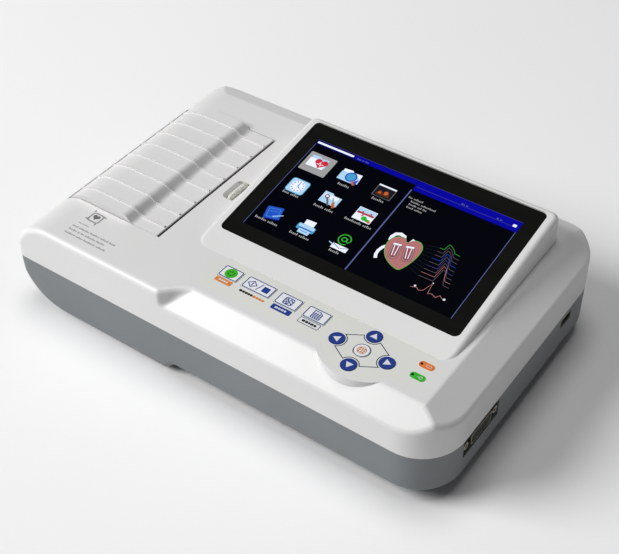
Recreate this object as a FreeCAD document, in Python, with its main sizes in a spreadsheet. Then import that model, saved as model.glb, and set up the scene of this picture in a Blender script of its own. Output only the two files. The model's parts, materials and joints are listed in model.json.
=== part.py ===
import FreeCAD, Part
import math
import os
import re

# Portable electrocardiograph: a printer bay with a domed door on the left, a tilted screen on the
# right, a key field in front of it and a grey lower shell. Millimetres, +X to the right, +Y to the
# back, +Z up. The origin is the middle of the footprint, on the surface that the feet rest on.

Vector = FreeCAD.Vector
doc = FreeCAD.newDocument("ecg_machine")

# Driving dimensions. Names ending in _x, _y or _z are places, the others are sizes.
SIZES = {
    # case outline
    "case_left": -163, "case_right": 163, "case_front": -102, "case_back": 102,
    "floor_left": 2, "floor_right": 9, "seam_z": 40, "deck_z": 71.5, "wall": 2.5,
    "nose_round": 31.5, "keel_round": 34.9, "step_low_x": -38, "step_high_x": -30, "step_round": 4,
    "corner_front_left": 8, "corner_back_left": 32, "corner_front_right": 30, "corner_back_right": 28,
    "bottom_round": 5, "top_round": 4, "nose_margin": 0.6,
    # sloping facets of the top
    "ramp_y": -87, "ramp_x": -21, "ramp_foot_z": 59.5, "side_ramp_x": 143.5, "side_foot_z": 62.5,
    "back_slope_y": 88.5, "back_foot_z": 68.6,
    # screen, in its own tilted plane
    "screen_x": 46.3, "screen_y": 18.3, "screen_z": 82, "screen_tilt": 9.15,
    "glass_width": 174.3, "glass_front": -54, "glass_back": 56.4, "glass_thick": 1.8,
    "glass_corner": 4,
    "gasket_thick": 0.4, "rim_proud": 1, "rim_round": 4,
    "housing_half": 94, "housing_front": -57.5, "housing_back": 79,
    "housing_front_corner": 14, "housing_back_corner": 6,
    "lcd_width": 165, "lcd_depth": 100, "lcd_thick": 6, "lcd_gap": 0.5,
    # key field
    "overlay_left": -21.5, "overlay_right": 134, "overlay_front": -80, "overlay_back": -52.3,
    "overlay_round": 6, "overlay_thick": 0.5, "bulge_y": -63.5, "bulge_round": 31.5, "bulge_low_z": 58,
    "row_y": -63.4, "row_key_depth": 10, "key_round": 0.8,
    "power_x": -9, "power_width": 14, "start_x": 12.4, "start_width": 20.6,
    "mode_x": 34.6, "print_x": 55.2, "small_width": 15.8,
    "nav_x": 92.5, "nav_y": -72, "nav_dx": 17.15, "nav_dy": 13.35, "nav_round": 4.75, "enter_round": 5.15,
    "key_gap": 0.25, "key_proud": 0.3, "key_flange": 1.4, "key_flange_z": 67, "flange_thick": 1.5,
    "stem_round": 1.5, "stem_foot_z": 63.5, "dome_top_z": 62.9, "key_board_z": 60.9, "board_thick": 1.6,
    "lamp_x": 129.2, "lamp_width": 9.6, "lamp_depth": 4.6, "battery_lamp_y": -61.2, "mains_lamp_y": -71.1,
    # printer door and its hinge
    "door_half": 62, "door_gap": 0.5, "door_open": 60, "hinge_x": -143.7, "hinge_z": 63.5, "knuckle": 5,
    "pin_round": 1.75,
    "door_skin": 2.3, "dome_z": 76.2, "dome_x": -138.1, "dome_round": 29, "dome_end_x": -97,
    "valley_x": -91.5, "lip_z": 71.1, "lip_x": -70.5, "slot_x": -68.3, "rib_pitch": 15, "rib_wide": 1.4,
    "rib_high": 0.8, "rib_count": 8, "running_gap": 0.05,
    # print mechanism
    "roller_x": -77, "roller_z": 61, "roller_round": 6.2, "roller_half": 54, "shaft_round": 2.5,
    "shaft_half": 61.8, "arm_thick": 2, "tooth_module": 0.8, "platen_teeth": 15, "idler_teeth": 25,
    "pinion_teeth": 12, "gear_y": 55, "gear_wide": 4, "pinion_angle": -36.87, "backlash": 0.16,
    "motor_round": 14, "motor_y": 34, "motor_long": 18, "plate_y": 52.5, "plate_thick": 1.5,
    "axle_round": 2, "motor_shaft_round": 1.5, "head_gap": 0.35, "head_thick": 2.5, "head_half": 54.5,
    "head_low_z": 55, "head_high_z": 66, "sink_deep": 5.9,
    # paper
    "roll_x": -114, "roll_z": 30, "roll_round": 20, "roll_half": 55, "core_round": 8, "spindle_round": 5.5,
    "tray_round": 22.5, "tray_wall": 1.8, "tray_half": 59.5, "tray_top_z": 46,
    # latch
    "latch_left": -62.3, "latch_right": -52.5, "latch_front": -7.5, "latch_back": 12.9,
    "latch_corner": 4,
    "bar_left": -58, "bar_right": -54.3, "plate_low_z": 66.8, "plate_high_z": 68.3, "nose_x": -70.2,
    # boards, battery and ports
    "main_left": 52, "main_right": 156, "main_half": 88, "main_z": 24,
    "lead_y": -52.6, "lead_z": 32.5, "lead_face_x": 158,
    "usb_y": 54.4, "usb_z": 33, "network_x": 78, "inlet_x": -10, "inlet_z": 25,
    "battery_left": -22, "battery_right": 46, "battery_front": -58, "battery_back": 18,
    "battery_low_z": 11.7, "battery_high_z": 30.7, "cover_margin": 4, "cover_thick": 1.5,
    "speaker_x": 112, "speaker_y": 52, "speaker_round": 18,
    "foot_round": 8, "foot_left_x": -115, "foot_right_x": 128, "foot_y": 72,
    "screw_round": 1.5, "screw_head_round": 2.8, "screw_boss": 3.7, "screw_y": 95.2,
}

sheet = doc.addObject("Spreadsheet::Sheet", "sizes")
for row, (alias, number) in enumerate(SIZES.items(), start=1):
    sheet.set(f"A{row}", alias)
    sheet.set(f"B{row}", str(number))
    sheet.setAlias(f"B{row}", alias)
doc.recompute()

AXIS_TURN = {
    "x": FreeCAD.Rotation(Vector(0, 1, 0), 90),
    "y": FreeCAD.Rotation(Vector(1, 0, 0), -90),
    "z": FreeCAD.Rotation(),
}
ORIGIN_PLANE = {"x": "YZ_Plane", "y": "XZ_Plane", "z": "XY_Plane"}
parts = {}


def bound(text):
    """The expression with every alias pointing at the sheet."""
    return re.sub(r"[a-z]\w*", lambda word: "sizes." + word[0] if word[0] in SIZES else word[0], str(text))


def value(text):
    """The number an expression stands for now."""
    return float(sheet.evalExpression(bound(text)))


def box(name, xs, ys, zs):
    """Box between two corners, each pair low and high."""
    solid = doc.addObject("Part::Box", name)
    for side, place, (low, high) in zip(("Length", "Width", "Height"), "xyz", (xs, ys, zs)):
        solid.setExpression(side, bound(f"({high}) - ({low})"))
        solid.setExpression(f"Placement.Base.{place}", bound(low))
    return solid


def rod(name, radius, axis, low, high, centre):
    """Cylinder along an axis; centre holds its place on the other two axes, in order."""
    solid = doc.addObject("Part::Cylinder", name)
    solid.setExpression("Radius", bound(radius))
    solid.setExpression("Height", bound(f"({high}) - ({low})"))
    solid.Placement = FreeCAD.Placement(Vector(), AXIS_TURN[axis])
    places = dict(zip([letter for letter in "xyz" if letter != axis], centre))
    places[axis] = low
    for letter, place in places.items():
        solid.setExpression(f"Placement.Base.{letter}", bound(place))
    return solid


def tilted_box(name, xs, depths, heights):
    """Box in the screen's tilted plane: depths run up the slope, heights out of the glass."""
    solid = doc.addObject("Part::Box", name)
    low_depth, low_height = depths[0], heights[0]
    for side, (low, high) in zip(("Length", "Width", "Height"), (xs, depths, heights)):
        solid.setExpression(side, bound(f"({high}) - ({low})"))
    solid.Placement = FreeCAD.Placement(Vector(), FreeCAD.Rotation(Vector(1, 0, 0), SIZES["screen_tilt"]))
    slope, rise = "cos(screen_tilt)", "sin(screen_tilt)"
    solid.setExpression("Placement.Base.x", bound(f"screen_x + ({xs[0]})"))
    solid.setExpression("Placement.Base.y",
                        bound(f"screen_y + ({low_depth}) * {slope} - ({low_height}) * {rise}"))
    solid.setExpression("Placement.Base.z",
                        bound(f"screen_z + ({low_depth}) * {rise} + ({low_height}) * {slope}"))
    return solid


def outline(points):
    """Closed outline of straight runs; each point is (u, v) or (u, v, corner radius)."""
    corners = [(Vector(value(p[0]), value(p[1]), 0), value(p[2]) if len(p) > 2 else 0) for p in points]
    ends = []
    for index, (corner, radius) in enumerate(corners):
        if radius <= 0:
            ends.append((corner, None, corner))
            continue
        back = (corners[index - 1][0] - corner).normalize()
        ahead = (corners[(index + 1) % len(corners)][0] - corner).normalize()
        half = back.getAngle(ahead) / 2
        run = radius / math.tan(half)
        middle = corner + (back + ahead).normalize() * (radius / math.sin(half) - radius)
        ends.append((corner + back * run, middle, corner + ahead * run))
    geometry = []
    for index, (first, middle, last) in enumerate(ends):
        if middle is not None:
            geometry.append(Part.Arc(first, middle, last))
        following = ends[(index + 1) % len(ends)][0]
        if (following - last).Length > 1e-6:
            geometry.append(Part.LineSegment(last, following))
    return geometry


def origin_plane(body, role):
    return next(item for item in body.Origin.OriginFeatures if item.Role == role)


def prism(name, axis, points, low, high):
    """Body with one sketch, padded along an axis from low to high."""
    body = doc.addObject("PartDesign::Body", name)
    sketch = body.newObject("Sketcher::SketchObject", name + "_outline")
    sketch.AttachmentSupport = [(origin_plane(body, ORIGIN_PLANE[axis]), "")]
    sketch.MapMode = "FlatFace"
    start = f"-({high})" if axis == "y" else low
    sketch.setExpression("AttachmentOffset.Base.z", bound(start))
    sketch.addGeometry(outline(points), False)
    pad = body.newObject("PartDesign::Pad", name + "_pad")
    pad.Profile = sketch
    pad.setExpression("Length", bound(f"({high}) - ({low})"))
    body.Tip = pad
    return body


def plate(name, xs, ys, zs, corner):
    """Flat plate with rounded corners."""
    (x0, x1), (y0, y1) = xs, ys
    return prism(name, "z", [(x0, y0, corner), (x1, y0, corner), (x1, y1, corner), (x0, y1, corner)], *zs)


def join(name, *solids):
    result = doc.addObject("Part::MultiFuse", name)
    result.Shapes = list(solids)
    result.Refine = True
    return result


def overlap(name, *solids):
    result = doc.addObject("Part::MultiCommon", name)
    result.Shapes = list(solids)
    return result


def carve(name, base, *tools):
    result = doc.addObject("Part::Cut", name)
    result.Base = base
    result.Tool = tools[0] if len(tools) == 1 else join(name + "_tools", *tools)
    result.Refine = True
    return result


def sharp_edges(shape, wanted):
    """Numbers of the edges with a real corner whose box passes the test wanted."""
    chosen = []
    for number, edge in enumerate(shape.Edges, start=1):
        faces = shape.ancestorsOfType(edge, Part.Face)
        if len(faces) != 2 or not wanted(edge.BoundBox):
            continue
        point = edge.valueAt((edge.FirstParameter + edge.LastParameter) / 2)
        normals = [face.normalAt(*face.Surface.parameter(point)) for face in faces]
        if math.degrees(normals[0].getAngle(normals[1])) > 10:
            chosen.append(number)
    return chosen


def round_edges(name, base, radius, wanted):
    doc.recompute()
    result = doc.addObject("Part::Fillet", name)
    result.Base = base
    result.Edges = [(number, value(radius), value(radius)) for number in sharp_edges(base.Shape, wanted)]
    return result


def through_glass(edge):
    """Corners of the glass that run from its face to its back."""
    return edge.XLength < 1 and edge.YLength < 3


def part(name, solid):
    """Give the finished piece its file name."""
    solid.Label = name
    parts[name] = solid
    return solid


# ---------------------------------------------------------------- case form

def case_form(name, inset):
    """The case as one solid, or the space inside its walls when inset is the wall thickness."""
    side = prism(name + "_side", "y", [
        (f"case_left + {inset}", f"deck_z - {inset}", f"nose_round - {inset}"),
        (f"case_right - {inset}", f"deck_z - {inset}"),
        (f"case_right - {inset}", f"floor_right + {inset}"),
        (f"step_high_x + {inset} / 2", f"floor_right + {inset}", "step_round"),
        (f"step_low_x + {inset} / 2", f"floor_left + {inset}", "step_round"),
        (f"case_left + {inset}", f"floor_left + {inset}", f"keel_round - {inset}"),
    ], f"case_front + {inset}", f"case_back - {inset}")
    # The plan stops nose_margin outside the left end, so its corners meet the round end at an angle.
    plan = prism(name + "_plan", "z", [
        (f"case_left - nose_margin + {inset}", f"case_front + {inset}", f"corner_front_left - {inset}"),
        (f"case_right - {inset}", f"case_front + {inset}", f"corner_front_right - {inset}"),
        (f"case_right - {inset}", f"case_back - {inset}", f"corner_back_right - {inset}"),
        (f"case_left - nose_margin + {inset}", f"case_back - {inset}", f"corner_back_left - {inset}"),
    ], "0", "deck_z + 10")
    drop = f"1.25 * {inset}"
    slope = "(deck_z - ramp_foot_z) / (ramp_y - case_front)"
    ramp = overlap(
        name + "_ramp",
        prism(name + "_ramp_slope", "x", [
            ("ramp_y", f"deck_z - {drop}"), ("ramp_y - 30", f"deck_z - {drop} - 30 * {slope}"),
            ("ramp_y - 30", "deck_z + 9"), ("ramp_y", "deck_z + 9"),
        ], "case_left", "case_right + 9"),
        prism(name + "_ramp_plan", "z", [
            (f"ramp_x - {inset}", "ramp_y"), (f"ramp_x - {inset} - 16", "ramp_y - 16"),
            (f"ramp_x - {inset} - 16", "ramp_y - 40"), ("case_right + 9", "ramp_y - 40"),
            ("case_right + 9", "ramp_y"),
        ], "0", "deck_z + 9"))
    fall = "(deck_z - side_foot_z) / (case_right - side_ramp_x)"
    side_ramp = prism(name + "_side_ramp", "y", [
        ("side_ramp_x", f"deck_z - {drop}"), ("side_ramp_x + 30", f"deck_z - {drop} - 30 * {fall}"),
        ("side_ramp_x + 30", "deck_z + 9"), ("side_ramp_x", "deck_z + 9"),
    ], "case_front - 9", "case_back + 9")
    tail = "(deck_z - back_foot_z) / (case_back - back_slope_y)"
    back_slope = prism(name + "_back_slope", "x", [
        ("back_slope_y", f"deck_z - {drop}"), ("back_slope_y + 30", f"deck_z - {drop} - 30 * {tail}"),
        ("back_slope_y + 30", "deck_z + 9"), ("back_slope_y", "deck_z + 9"),
    ], "case_left - 9", "case_right + 9")
    return carve(name, overlap(name + "_block", side, plan), ramp, side_ramp, back_slope)


outer_form = case_form("outer", "0")
around = (("case_left - 5", "case_right + 5"), ("case_front - 5", "case_back + 5"))
upper_form = overlap("upper_form", outer_form, box("above_seam", *around, ("seam_z", "deck_z + 5")))
lower_form = overlap("lower_form", outer_form, box("below_seam", *around, ("-5", "seam_z")))
upper_block = round_edges("upper_block", upper_form, "top_round",
                          lambda edge: edge.ZMax > SIZES["seam_z"] + 1)
lower_block = round_edges("lower_block", lower_form, "bottom_round",
                          lambda edge: edge.ZMax < SIZES["seam_z"] - 1)
case_space = case_form("inner", "wall")

# ---------------------------------------------------------------- upper case

# The wedge that lifts the screen's back edge. Its top is the screen's plane, which runs out into
# the deck just behind the key field.
housing_front_points = [("screen_x - housing_half", "housing_front", "housing_front_corner"),
                        ("screen_x + housing_half", "housing_front", "housing_front_corner")]
housing_back_points = [("screen_x + housing_half", "housing_back", "housing_back_corner"),
                       ("screen_x - housing_half", "housing_back", "housing_back_corner")]
housing_column = prism("housing_column", "z", housing_front_points + housing_back_points,
                       "deck_z - rim_round - 2", "deck_z + 30")
above_rim = tilted_box("above_rim", ("-housing_half - 5", "housing_half + 5"),
                       ("-housing_half", "housing_half"), ("rim_proud", "50"))
screen_housing = carve("screen_housing", housing_column, above_rim)
housing_rounded = round_edges("housing_rounded", screen_housing, "rim_round",
                              lambda edge: edge.ZMin > SIZES["deck_z"] - 1)
nav_bulge = overlap("nav_bulge",
                    rod("bulge_block", "bulge_round", "z", "bulge_low_z", "deck_z", ("nav_x", "bulge_y")),
                    box("bulge_front_half", ("nav_x - 40", "nav_x + 40"), ("case_front", "overlay_front + 4"),
                        ("bulge_low_z", "deck_z")))
upper_blank = join("upper_blank", upper_block, housing_rounded, nav_bulge)

# Left of the hinge the case slopes back, so that the open door's skin can lie along it.
swing_foot = ("hinge_x + (knuckle + door_gap) * cos(135 + door_open)",
              "hinge_z + (knuckle + door_gap) * sin(135 + door_open)")
swing_top = (f"{swing_foot[0]} + 9 * cos(45 + door_open)", f"{swing_foot[1]} + 9 * sin(45 + door_open)")
door_swing = prism("door_swing", "y", [swing_foot, ("hinge_x", "hinge_z"), ("hinge_x", swing_top[1]), swing_top],
                   "-door_half - door_gap", "door_half + door_gap")
door_opening = join("door_opening",
                    box("door_well", ("hinge_x - door_gap", "slot_x"),
                        ("-door_half - door_gap", "door_half + door_gap"), ("seam_z + 3", "deck_z + 9")),
                    rod("knuckle_well", "knuckle + door_gap", "y", "-door_half - door_gap",
                        "door_half + door_gap", ("hinge_x", "hinge_z")),
                    door_swing)
glass_recess = round_edges("glass_recess", tilted_box(
    "recess_block", ("-glass_width / 2 - 0.15", "glass_width / 2 + 0.15"),
    ("glass_front - 0.15", "glass_back + 0.15"), ("-glass_thick - gasket_thick", "5")),
    "glass_corner + 0.15", through_glass)
lcd_well = tilted_box("lcd_well", ("-lcd_width / 2 - lcd_gap", "lcd_width / 2 + lcd_gap"),
                      ("-lcd_depth / 2 - lcd_gap", "lcd_depth / 2 + lcd_gap"), ("-30", "0"))
# The finger scoop slopes in from the left, where its outline is a half round.
latch_slope = prism("latch_slope", "y", [
    ("latch_left", "deck_z + 1"), ("latch_left", "deck_z"), ("latch_left + 2.5", "deck_z - wall"),
    ("latch_left + 2.5", "deck_z - wall - 1"), ("latch_right", "deck_z - wall - 1"),
    ("latch_right", "deck_z + 1"),
], "latch_front", "latch_back")
latch_plan = prism("latch_plan", "z", [
    ("latch_left", "latch_front", "latch_corner"), ("latch_right", "latch_front", "0.6"),
    ("latch_right", "latch_back", "0.6"), ("latch_left", "latch_back", "latch_corner"),
], "deck_z - wall - 1", "deck_z + 1")
latch_opening = overlap("latch_opening", latch_slope, latch_plan)
overlay_outline = [
    ("overlay_left", "overlay_front", "overlay_round"), ("overlay_right", "overlay_front", "overlay_round"),
    ("overlay_right", "overlay_back", "overlay_round"), ("overlay_left", "overlay_back", "overlay_round"),
]
overlay_field = prism("overlay_field", "z", overlay_outline, "deck_z - overlay_thick", "deck_z + 5")
overlay_bulge = overlap("overlay_bulge",
                        rod("overlay_disc", "bulge_round - 3", "z", "deck_z - overlay_thick", "deck_z + 5",
                            ("nav_x", "bulge_y")),
                        box("overlay_disc_half", ("nav_x - 40", "nav_x + 40"),
                            ("case_front", "overlay_front + 2"), ("deck_z - overlay_thick", "deck_z + 5")))
overlay_space = join("overlay_space", overlay_field, overlay_bulge)

ROW_KEYS = {
    "power_key": ("power_x", "power_width"), "start_stop_key": ("start_x", "start_width"),
    "mode_key": ("mode_x", "small_width"), "print_key": ("print_x", "small_width"),
}
NAV_KEYS = {
    "left_key": ("nav_x - nav_dx", "nav_y", "nav_round"),
    "right_key": ("nav_x + nav_dx", "nav_y", "nav_round"),
    "up_key": ("nav_x", "nav_y + nav_dy", "nav_round"),
    "down_key": ("nav_x", "nav_y - nav_dy", "nav_round"),
    "enter_key": ("nav_x", "nav_y", "enter_round"),
}
LAMPS = {"battery_lamp": "battery_lamp_y", "mains_lamp": "mains_lamp_y"}


def row_key_block(name, centre, width, grow, low, high, corner="key_round"):
    return plate(name, (f"{centre} - {width} / 2 - {grow}", f"{centre} + {width} / 2 + {grow}"),
                 (f"row_y - row_key_depth / 2 - {grow}", f"row_y + row_key_depth / 2 + {grow}"),
                 (low, high), corner)


def lamp_block(name, centre_y, grow, low, high):
    return plate(name, (f"lamp_x - lamp_width / 2 - {grow}", f"lamp_x + lamp_width / 2 + {grow}"),
                 (f"{centre_y} - lamp_depth / 2 - {grow}", f"{centre_y} + lamp_depth / 2 + {grow}"),
                 (low, high), "lamp_depth / 2 - 0.05")


def key_windows(prefix, low, high):
    """One cutter for every key and lamp that passes through a sheet."""
    cutters = [row_key_block(f"{prefix}_{key}", centre, width, "key_gap", low, high)
               for key, (centre, width) in ROW_KEYS.items()]
    cutters += [rod(f"{prefix}_{key}", f"{radius} + key_gap", "z", low, high, (x, y))
                for key, (x, y, radius) in NAV_KEYS.items()]
    cutters += [lamp_block(f"{prefix}_{lamp}", y, "0.05", low, high) for lamp, y in LAMPS.items()]
    return join(prefix, *cutters)


deck_windows = key_windows("deck_window", "key_flange_z", "deck_z + 5")
nav_wells = join("nav_wells", *[
    rod(f"well_{key}", f"{radius} + key_flange + 0.4", "z", "bulge_low_z - 4", "deck_z - wall", (x, y))
    for key, (x, y, radius) in NAV_KEYS.items()])

SCREWS = {"front_left": ("-125", "-88"), "back_left": ("-125", "88"),
          "front_middle": ("10", "-screw_y"), "back_middle": ("10", "screw_y"),
          "front_right": ("128", "-screw_y"), "back_right": ("128", "screw_y")}
upper_bosses = overlap("upper_bosses", upper_block, join("upper_columns", *[
    rod(f"upper_column_{place}", "screw_boss", "z", "seam_z", "deck_z - 1", centre)
    for place, centre in SCREWS.items()]))
hinge_blocks = overlap("hinge_blocks", upper_block, join("hinge_lumps", *[
    box(f"hinge_lump_{side}", ("hinge_x - 7", "hinge_x + 5"), ys, ("hinge_z - 5", "deck_z"))
    for side, ys in (("front", ("-door_half - door_gap - 7", "-door_half - door_gap")),
                     ("back", ("door_half + door_gap", "door_half + door_gap + 7")))]))
upper_shell = carve("upper_shell", upper_blank, case_space)
upper_solid = join("upper_solid", upper_shell, upper_bosses, hinge_blocks)
pilot_holes = join("pilot_holes", *[
    rod(f"pilot_{place}", "screw_round", "z", "seam_z - 1", "seam_z + 12", centre)
    for place, centre in SCREWS.items()])
part("upper_case", carve("upper_cut", upper_solid, door_opening, glass_recess, lcd_well, latch_opening,
                         overlay_space, deck_windows, nav_wells, pilot_holes,
                         rod("hinge_hole", "pin_round", "y", "-door_half - 6", "door_half + 6",
                             ("hinge_x", "hinge_z"))))

# ---------------------------------------------------------------- lower case

lower_shell = carve("lower_shell", lower_block, case_space)
lower_columns = overlap("lower_bosses", lower_block, join("lower_columns", *[
    rod(f"lower_column_{place}", "screw_boss + 1", "z", "0", "seam_z", centre)
    for place, centre in SCREWS.items()]))
BOARD_POSTS = {"a": ("main_left + 5", "-main_half + 5"), "b": ("main_right - 5", "-main_half + 10"),
               "c": ("main_left + 5", "main_half - 5"), "d": ("main_right - 5", "main_half - 10")}
board_posts = join("board_posts", *[
    rod(f"board_post_{post}", "3", "z", "floor_right + 1", "main_z", centre)
    for post, centre in BOARD_POSTS.items()])
screw_holes = join("screw_holes", *[
    rod(f"screw_hole_{place}", "screw_round + 0.1", "z", "0", "seam_z + 1", centre)
    for place, centre in SCREWS.items()])
HEAD_SEAT = {place: "floor_left + 14" if "left" in place else "floor_right + 6" for place in SCREWS}
head_wells = join("head_wells", *[
    rod(f"head_well_{place}", "screw_head_round + 0.3", "z", "-1", HEAD_SEAT[place], centre)
    for place, centre in SCREWS.items()])
cover_seat = plate("cover_seat", ("battery_left - cover_margin - 0.3", "battery_right + cover_margin + 0.3"),
                   ("battery_front - cover_margin - 0.3", "battery_back + cover_margin + 0.3"),
                   ("floor_right - 1", "floor_right + cover_thick"), "3")
cover_window = plate("cover_window", ("battery_left - 1", "battery_right + 1"),
                     ("battery_front - 1", "battery_back + 1"), ("floor_right", "floor_right + 5"), "1.5")
lead_window = box("lead_window", ("case_right - 6", "case_right + 1"), ("lead_y - 20.5", "lead_y + 20.5"),
                  ("lead_z - 6.8", "lead_z + 6.8"))
usb_window = box("usb_window", ("case_right - 4", "case_right + 1"), ("usb_y - 6.9", "usb_y + 6.9"),
                 ("usb_z - 3.3", "usb_z + 3.3"))
board_top = "main_z + board_thick"
network_window = box("network_window", ("network_x - 8.2", "network_x + 8.2"),
                     ("case_back - 4", "case_back + 1"), (board_top, f"{board_top} + 13.6"))
inlet_window = box("inlet_window", ("inlet_x - 14", "inlet_x + 14"), ("case_back - 4", "case_back + 1"),
                   ("inlet_z - 10.2", "inlet_z + 10.2"))
sound_slots = join("sound_slots", *[
    plate(f"sound_slot_{index}", (f"speaker_x + {step} - 1", f"speaker_x + {step} + 1"),
          ("speaker_y - 11", "speaker_y + 11"), ("floor_right - 1", "floor_right + 5"), "0.95")
    for index, step in enumerate((-10, -5, 0, 5, 10))])
# Each foot's place, and the level of the floor above it.
FEET = {f"{side}_{end}": (x, y, low)
        for side, x, low in (("left", "foot_left_x", "floor_left"), ("right", "foot_right_x", "floor_right"))
        for end, y in (("front", "-foot_y"), ("back", "foot_y"))}
foot_plugs = join("foot_plugs", *[
    rod(f"foot_plug_{place}", "2.5", "z", "0", f"{low} + 3.5", (x, y)) for place, (x, y, low) in FEET.items()])
lower_solid = join("lower_solid", lower_shell, lower_columns, board_posts)
part("lower_case", carve("lower_cut", lower_solid, screw_holes, head_wells, cover_seat, cover_window,
                         lead_window, usb_window, network_window, inlet_window, sound_slots, foot_plugs))

part("case_screws", join("case_screw_set", *[
    solid for place, centre in SCREWS.items() for solid in (
        rod(f"case_screw_{place}", "screw_round", "z", HEAD_SEAT[place], "seam_z + 10", centre),
        rod(f"case_screw_head_{place}", "screw_head_round", "z", HEAD_SEAT[place] + " - 2",
            HEAD_SEAT[place], centre))]))
part("feet", join("foot_set", *[
    solid for place, (x, y, low) in FEET.items() for solid in (
        rod(f"foot_{place}", "foot_round", "z", "0", low, (x, y)),
        rod(f"foot_stalk_{place}", "2.5", "z", "0", f"{low} + 3", (x, y)))]))

# ---------------------------------------------------------------- screen

glass_wide = ("-glass_width / 2", "glass_width / 2")
glass_deep = ("glass_front", "glass_back")
part("display_glass", round_edges(
    "glass_sheet", tilted_box("glass_blank", glass_wide, glass_deep, ("-glass_thick", "0")),
    "glass_corner", through_glass))
gasket_level = ("-glass_thick - gasket_thick", "-glass_thick")
part("display_gasket", carve(
    "gasket_ring",
    round_edges("gasket_sheet", tilted_box("gasket_blank", glass_wide, glass_deep, gasket_level),
                "glass_corner", through_glass),
    tilted_box("gasket_window", ("-lcd_width / 2 - lcd_gap", "lcd_width / 2 + lcd_gap"),
               ("-lcd_depth / 2 - lcd_gap", "lcd_depth / 2 + lcd_gap"), ("-5", "5"))))
lcd_level = ("-glass_thick - 0.2 - lcd_thick", "-glass_thick - 0.2")
part("lcd_module", join(
    "lcd_stack",
    tilted_box("lcd_cell", ("-lcd_width / 2", "lcd_width / 2"), ("-lcd_depth / 2", "lcd_depth / 2"),
               lcd_level),
    tilted_box("lcd_driver", ("-30", "30"), ("-lcd_depth / 2 + 6", "-lcd_depth / 2 + 24"),
               ("-glass_thick - lcd_thick - 2.2", "-glass_thick - lcd_thick"))))

# ---------------------------------------------------------------- keys

overlay_sheet = overlap("overlay_sheet", overlay_space,
                        box("overlay_level", ("overlay_left", "overlay_right"), ("case_front", "overlay_back"),
                            ("deck_z - overlay_thick", "deck_z")))
part("keypad_overlay", carve("overlay_cut", overlay_sheet,
                             key_windows("overlay_window", "deck_z - 1", "deck_z + 1")))

for key, (centre, width) in ROW_KEYS.items():
    part(key, join(
        key + "_piece",
        row_key_block(key + "_cap", centre, width, "0", "key_flange_z", "deck_z + key_proud"),
        row_key_block(key + "_flange", centre, width, "key_flange", "key_flange_z",
                      "key_flange_z + flange_thick"),
        rod(key + "_stem", "stem_round", "z", "stem_foot_z", "key_flange_z", (centre, "row_y"))))
for key, (x, y, radius) in NAV_KEYS.items():
    part(key, join(
        key + "_piece",
        rod(key + "_cap", radius, "z", "key_flange_z", "deck_z + key_proud", (x, y)),
        rod(key + "_flange", f"{radius} + key_flange", "z", "key_flange_z", "key_flange_z + flange_thick", (x, y)),
        rod(key + "_stem", "stem_round", "z", "stem_foot_z", "key_flange_z", (x, y))))
for lamp, y in LAMPS.items():
    part(lamp, join(lamp + "_piece", lamp_block(lamp + "_lens", y, "0", "deck_z - wall - 1", "deck_z + 0.15"),
                    rod(lamp + "_guide", "1.6", "z", "key_board_z + board_thick", "deck_z - wall", ("lamp_x", y))))

part("keypad_board", plate("keypad_board_sheet", ("overlay_left - 1", "overlay_right + 3"),
                           ("-91", "overlay_back + 2"), ("key_board_z", "key_board_z + board_thick"), "2"))
key_centres = [(centre, "row_y") for centre, width in ROW_KEYS.values()]
key_centres += [(x, y) for x, y, radius in NAV_KEYS.values()]
part("dome_switches", join("dome_switch_set", *[
    rod(f"dome_{index}", "2.6", "z", "key_board_z + board_thick", "dome_top_z", centre)
    for index, centre in enumerate(key_centres)]))

# ---------------------------------------------------------------- printer door

TANGENT = "knuckle * sqrt(0.5)"
door_top = [
    (f"hinge_x - {TANGENT}", f"hinge_z + {TANGENT}"), ("dome_x", "dome_z", "dome_round"),
    ("dome_end_x", "dome_z", "6"), ("valley_x", "lip_z", "5"), ("lip_x", "lip_z", "0.8"),
]
door_under = [
    ("lip_x", "lip_z - door_skin"), ("valley_x - 1", "lip_z - door_skin", "5"),
    ("dome_end_x - 1", "dome_z - door_skin", "5"),
    ("dome_x + 0.414 * door_skin", "dome_z - door_skin", "dome_round - door_skin"),
    (f"hinge_x - {TANGENT} + 0.707 * door_skin", f"hinge_z + {TANGENT} - 0.707 * door_skin"),
]
door_end = [
    ("lip_x", "lip_z - 4.1"), ("lip_x - 2.1", "lip_z - 4.1"), ("lip_x - 2.1", "roller_z + 2.2"),
    ("lip_x", "roller_z + 2.2"), ("lip_x", "roller_z - 3"), ("roller_x + 3", "roller_z - 5.5", "1"),
    ("roller_x - 3.5", "roller_z - 5.5", "1"), ("roller_x - 7.5", "hinge_z + 0.5"), ("hinge_x", "hinge_z + 0.5"),
]
rib_top = [
    (f"hinge_x - {TANGENT} - 0.707 * rib_high", f"hinge_z + {TANGENT} + 0.707 * rib_high"),
    ("dome_x - 0.414 * rib_high", "dome_z + rib_high", "dome_round + rib_high"),
    ("dome_end_x + 0.39 * rib_high", "dome_z + rib_high", "6"),
    ("valley_x + 0.39 * rib_high", "lip_z + rib_high", "4.6"), ("lip_x - 1.2", "lip_z + rib_high", "0.3"),
    ("lip_x - 1.2", "lip_z - 1"),
]
ribs = [prism(f"door_rib_{index}", "y", rib_top + door_under[1:],
              f"rib_pitch * ({index} - (rib_count - 1) / 2) - rib_wide / 2",
              f"rib_pitch * ({index} - (rib_count - 1) / 2) + rib_wide / 2")
        for index in range(SIZES["rib_count"])]
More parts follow.
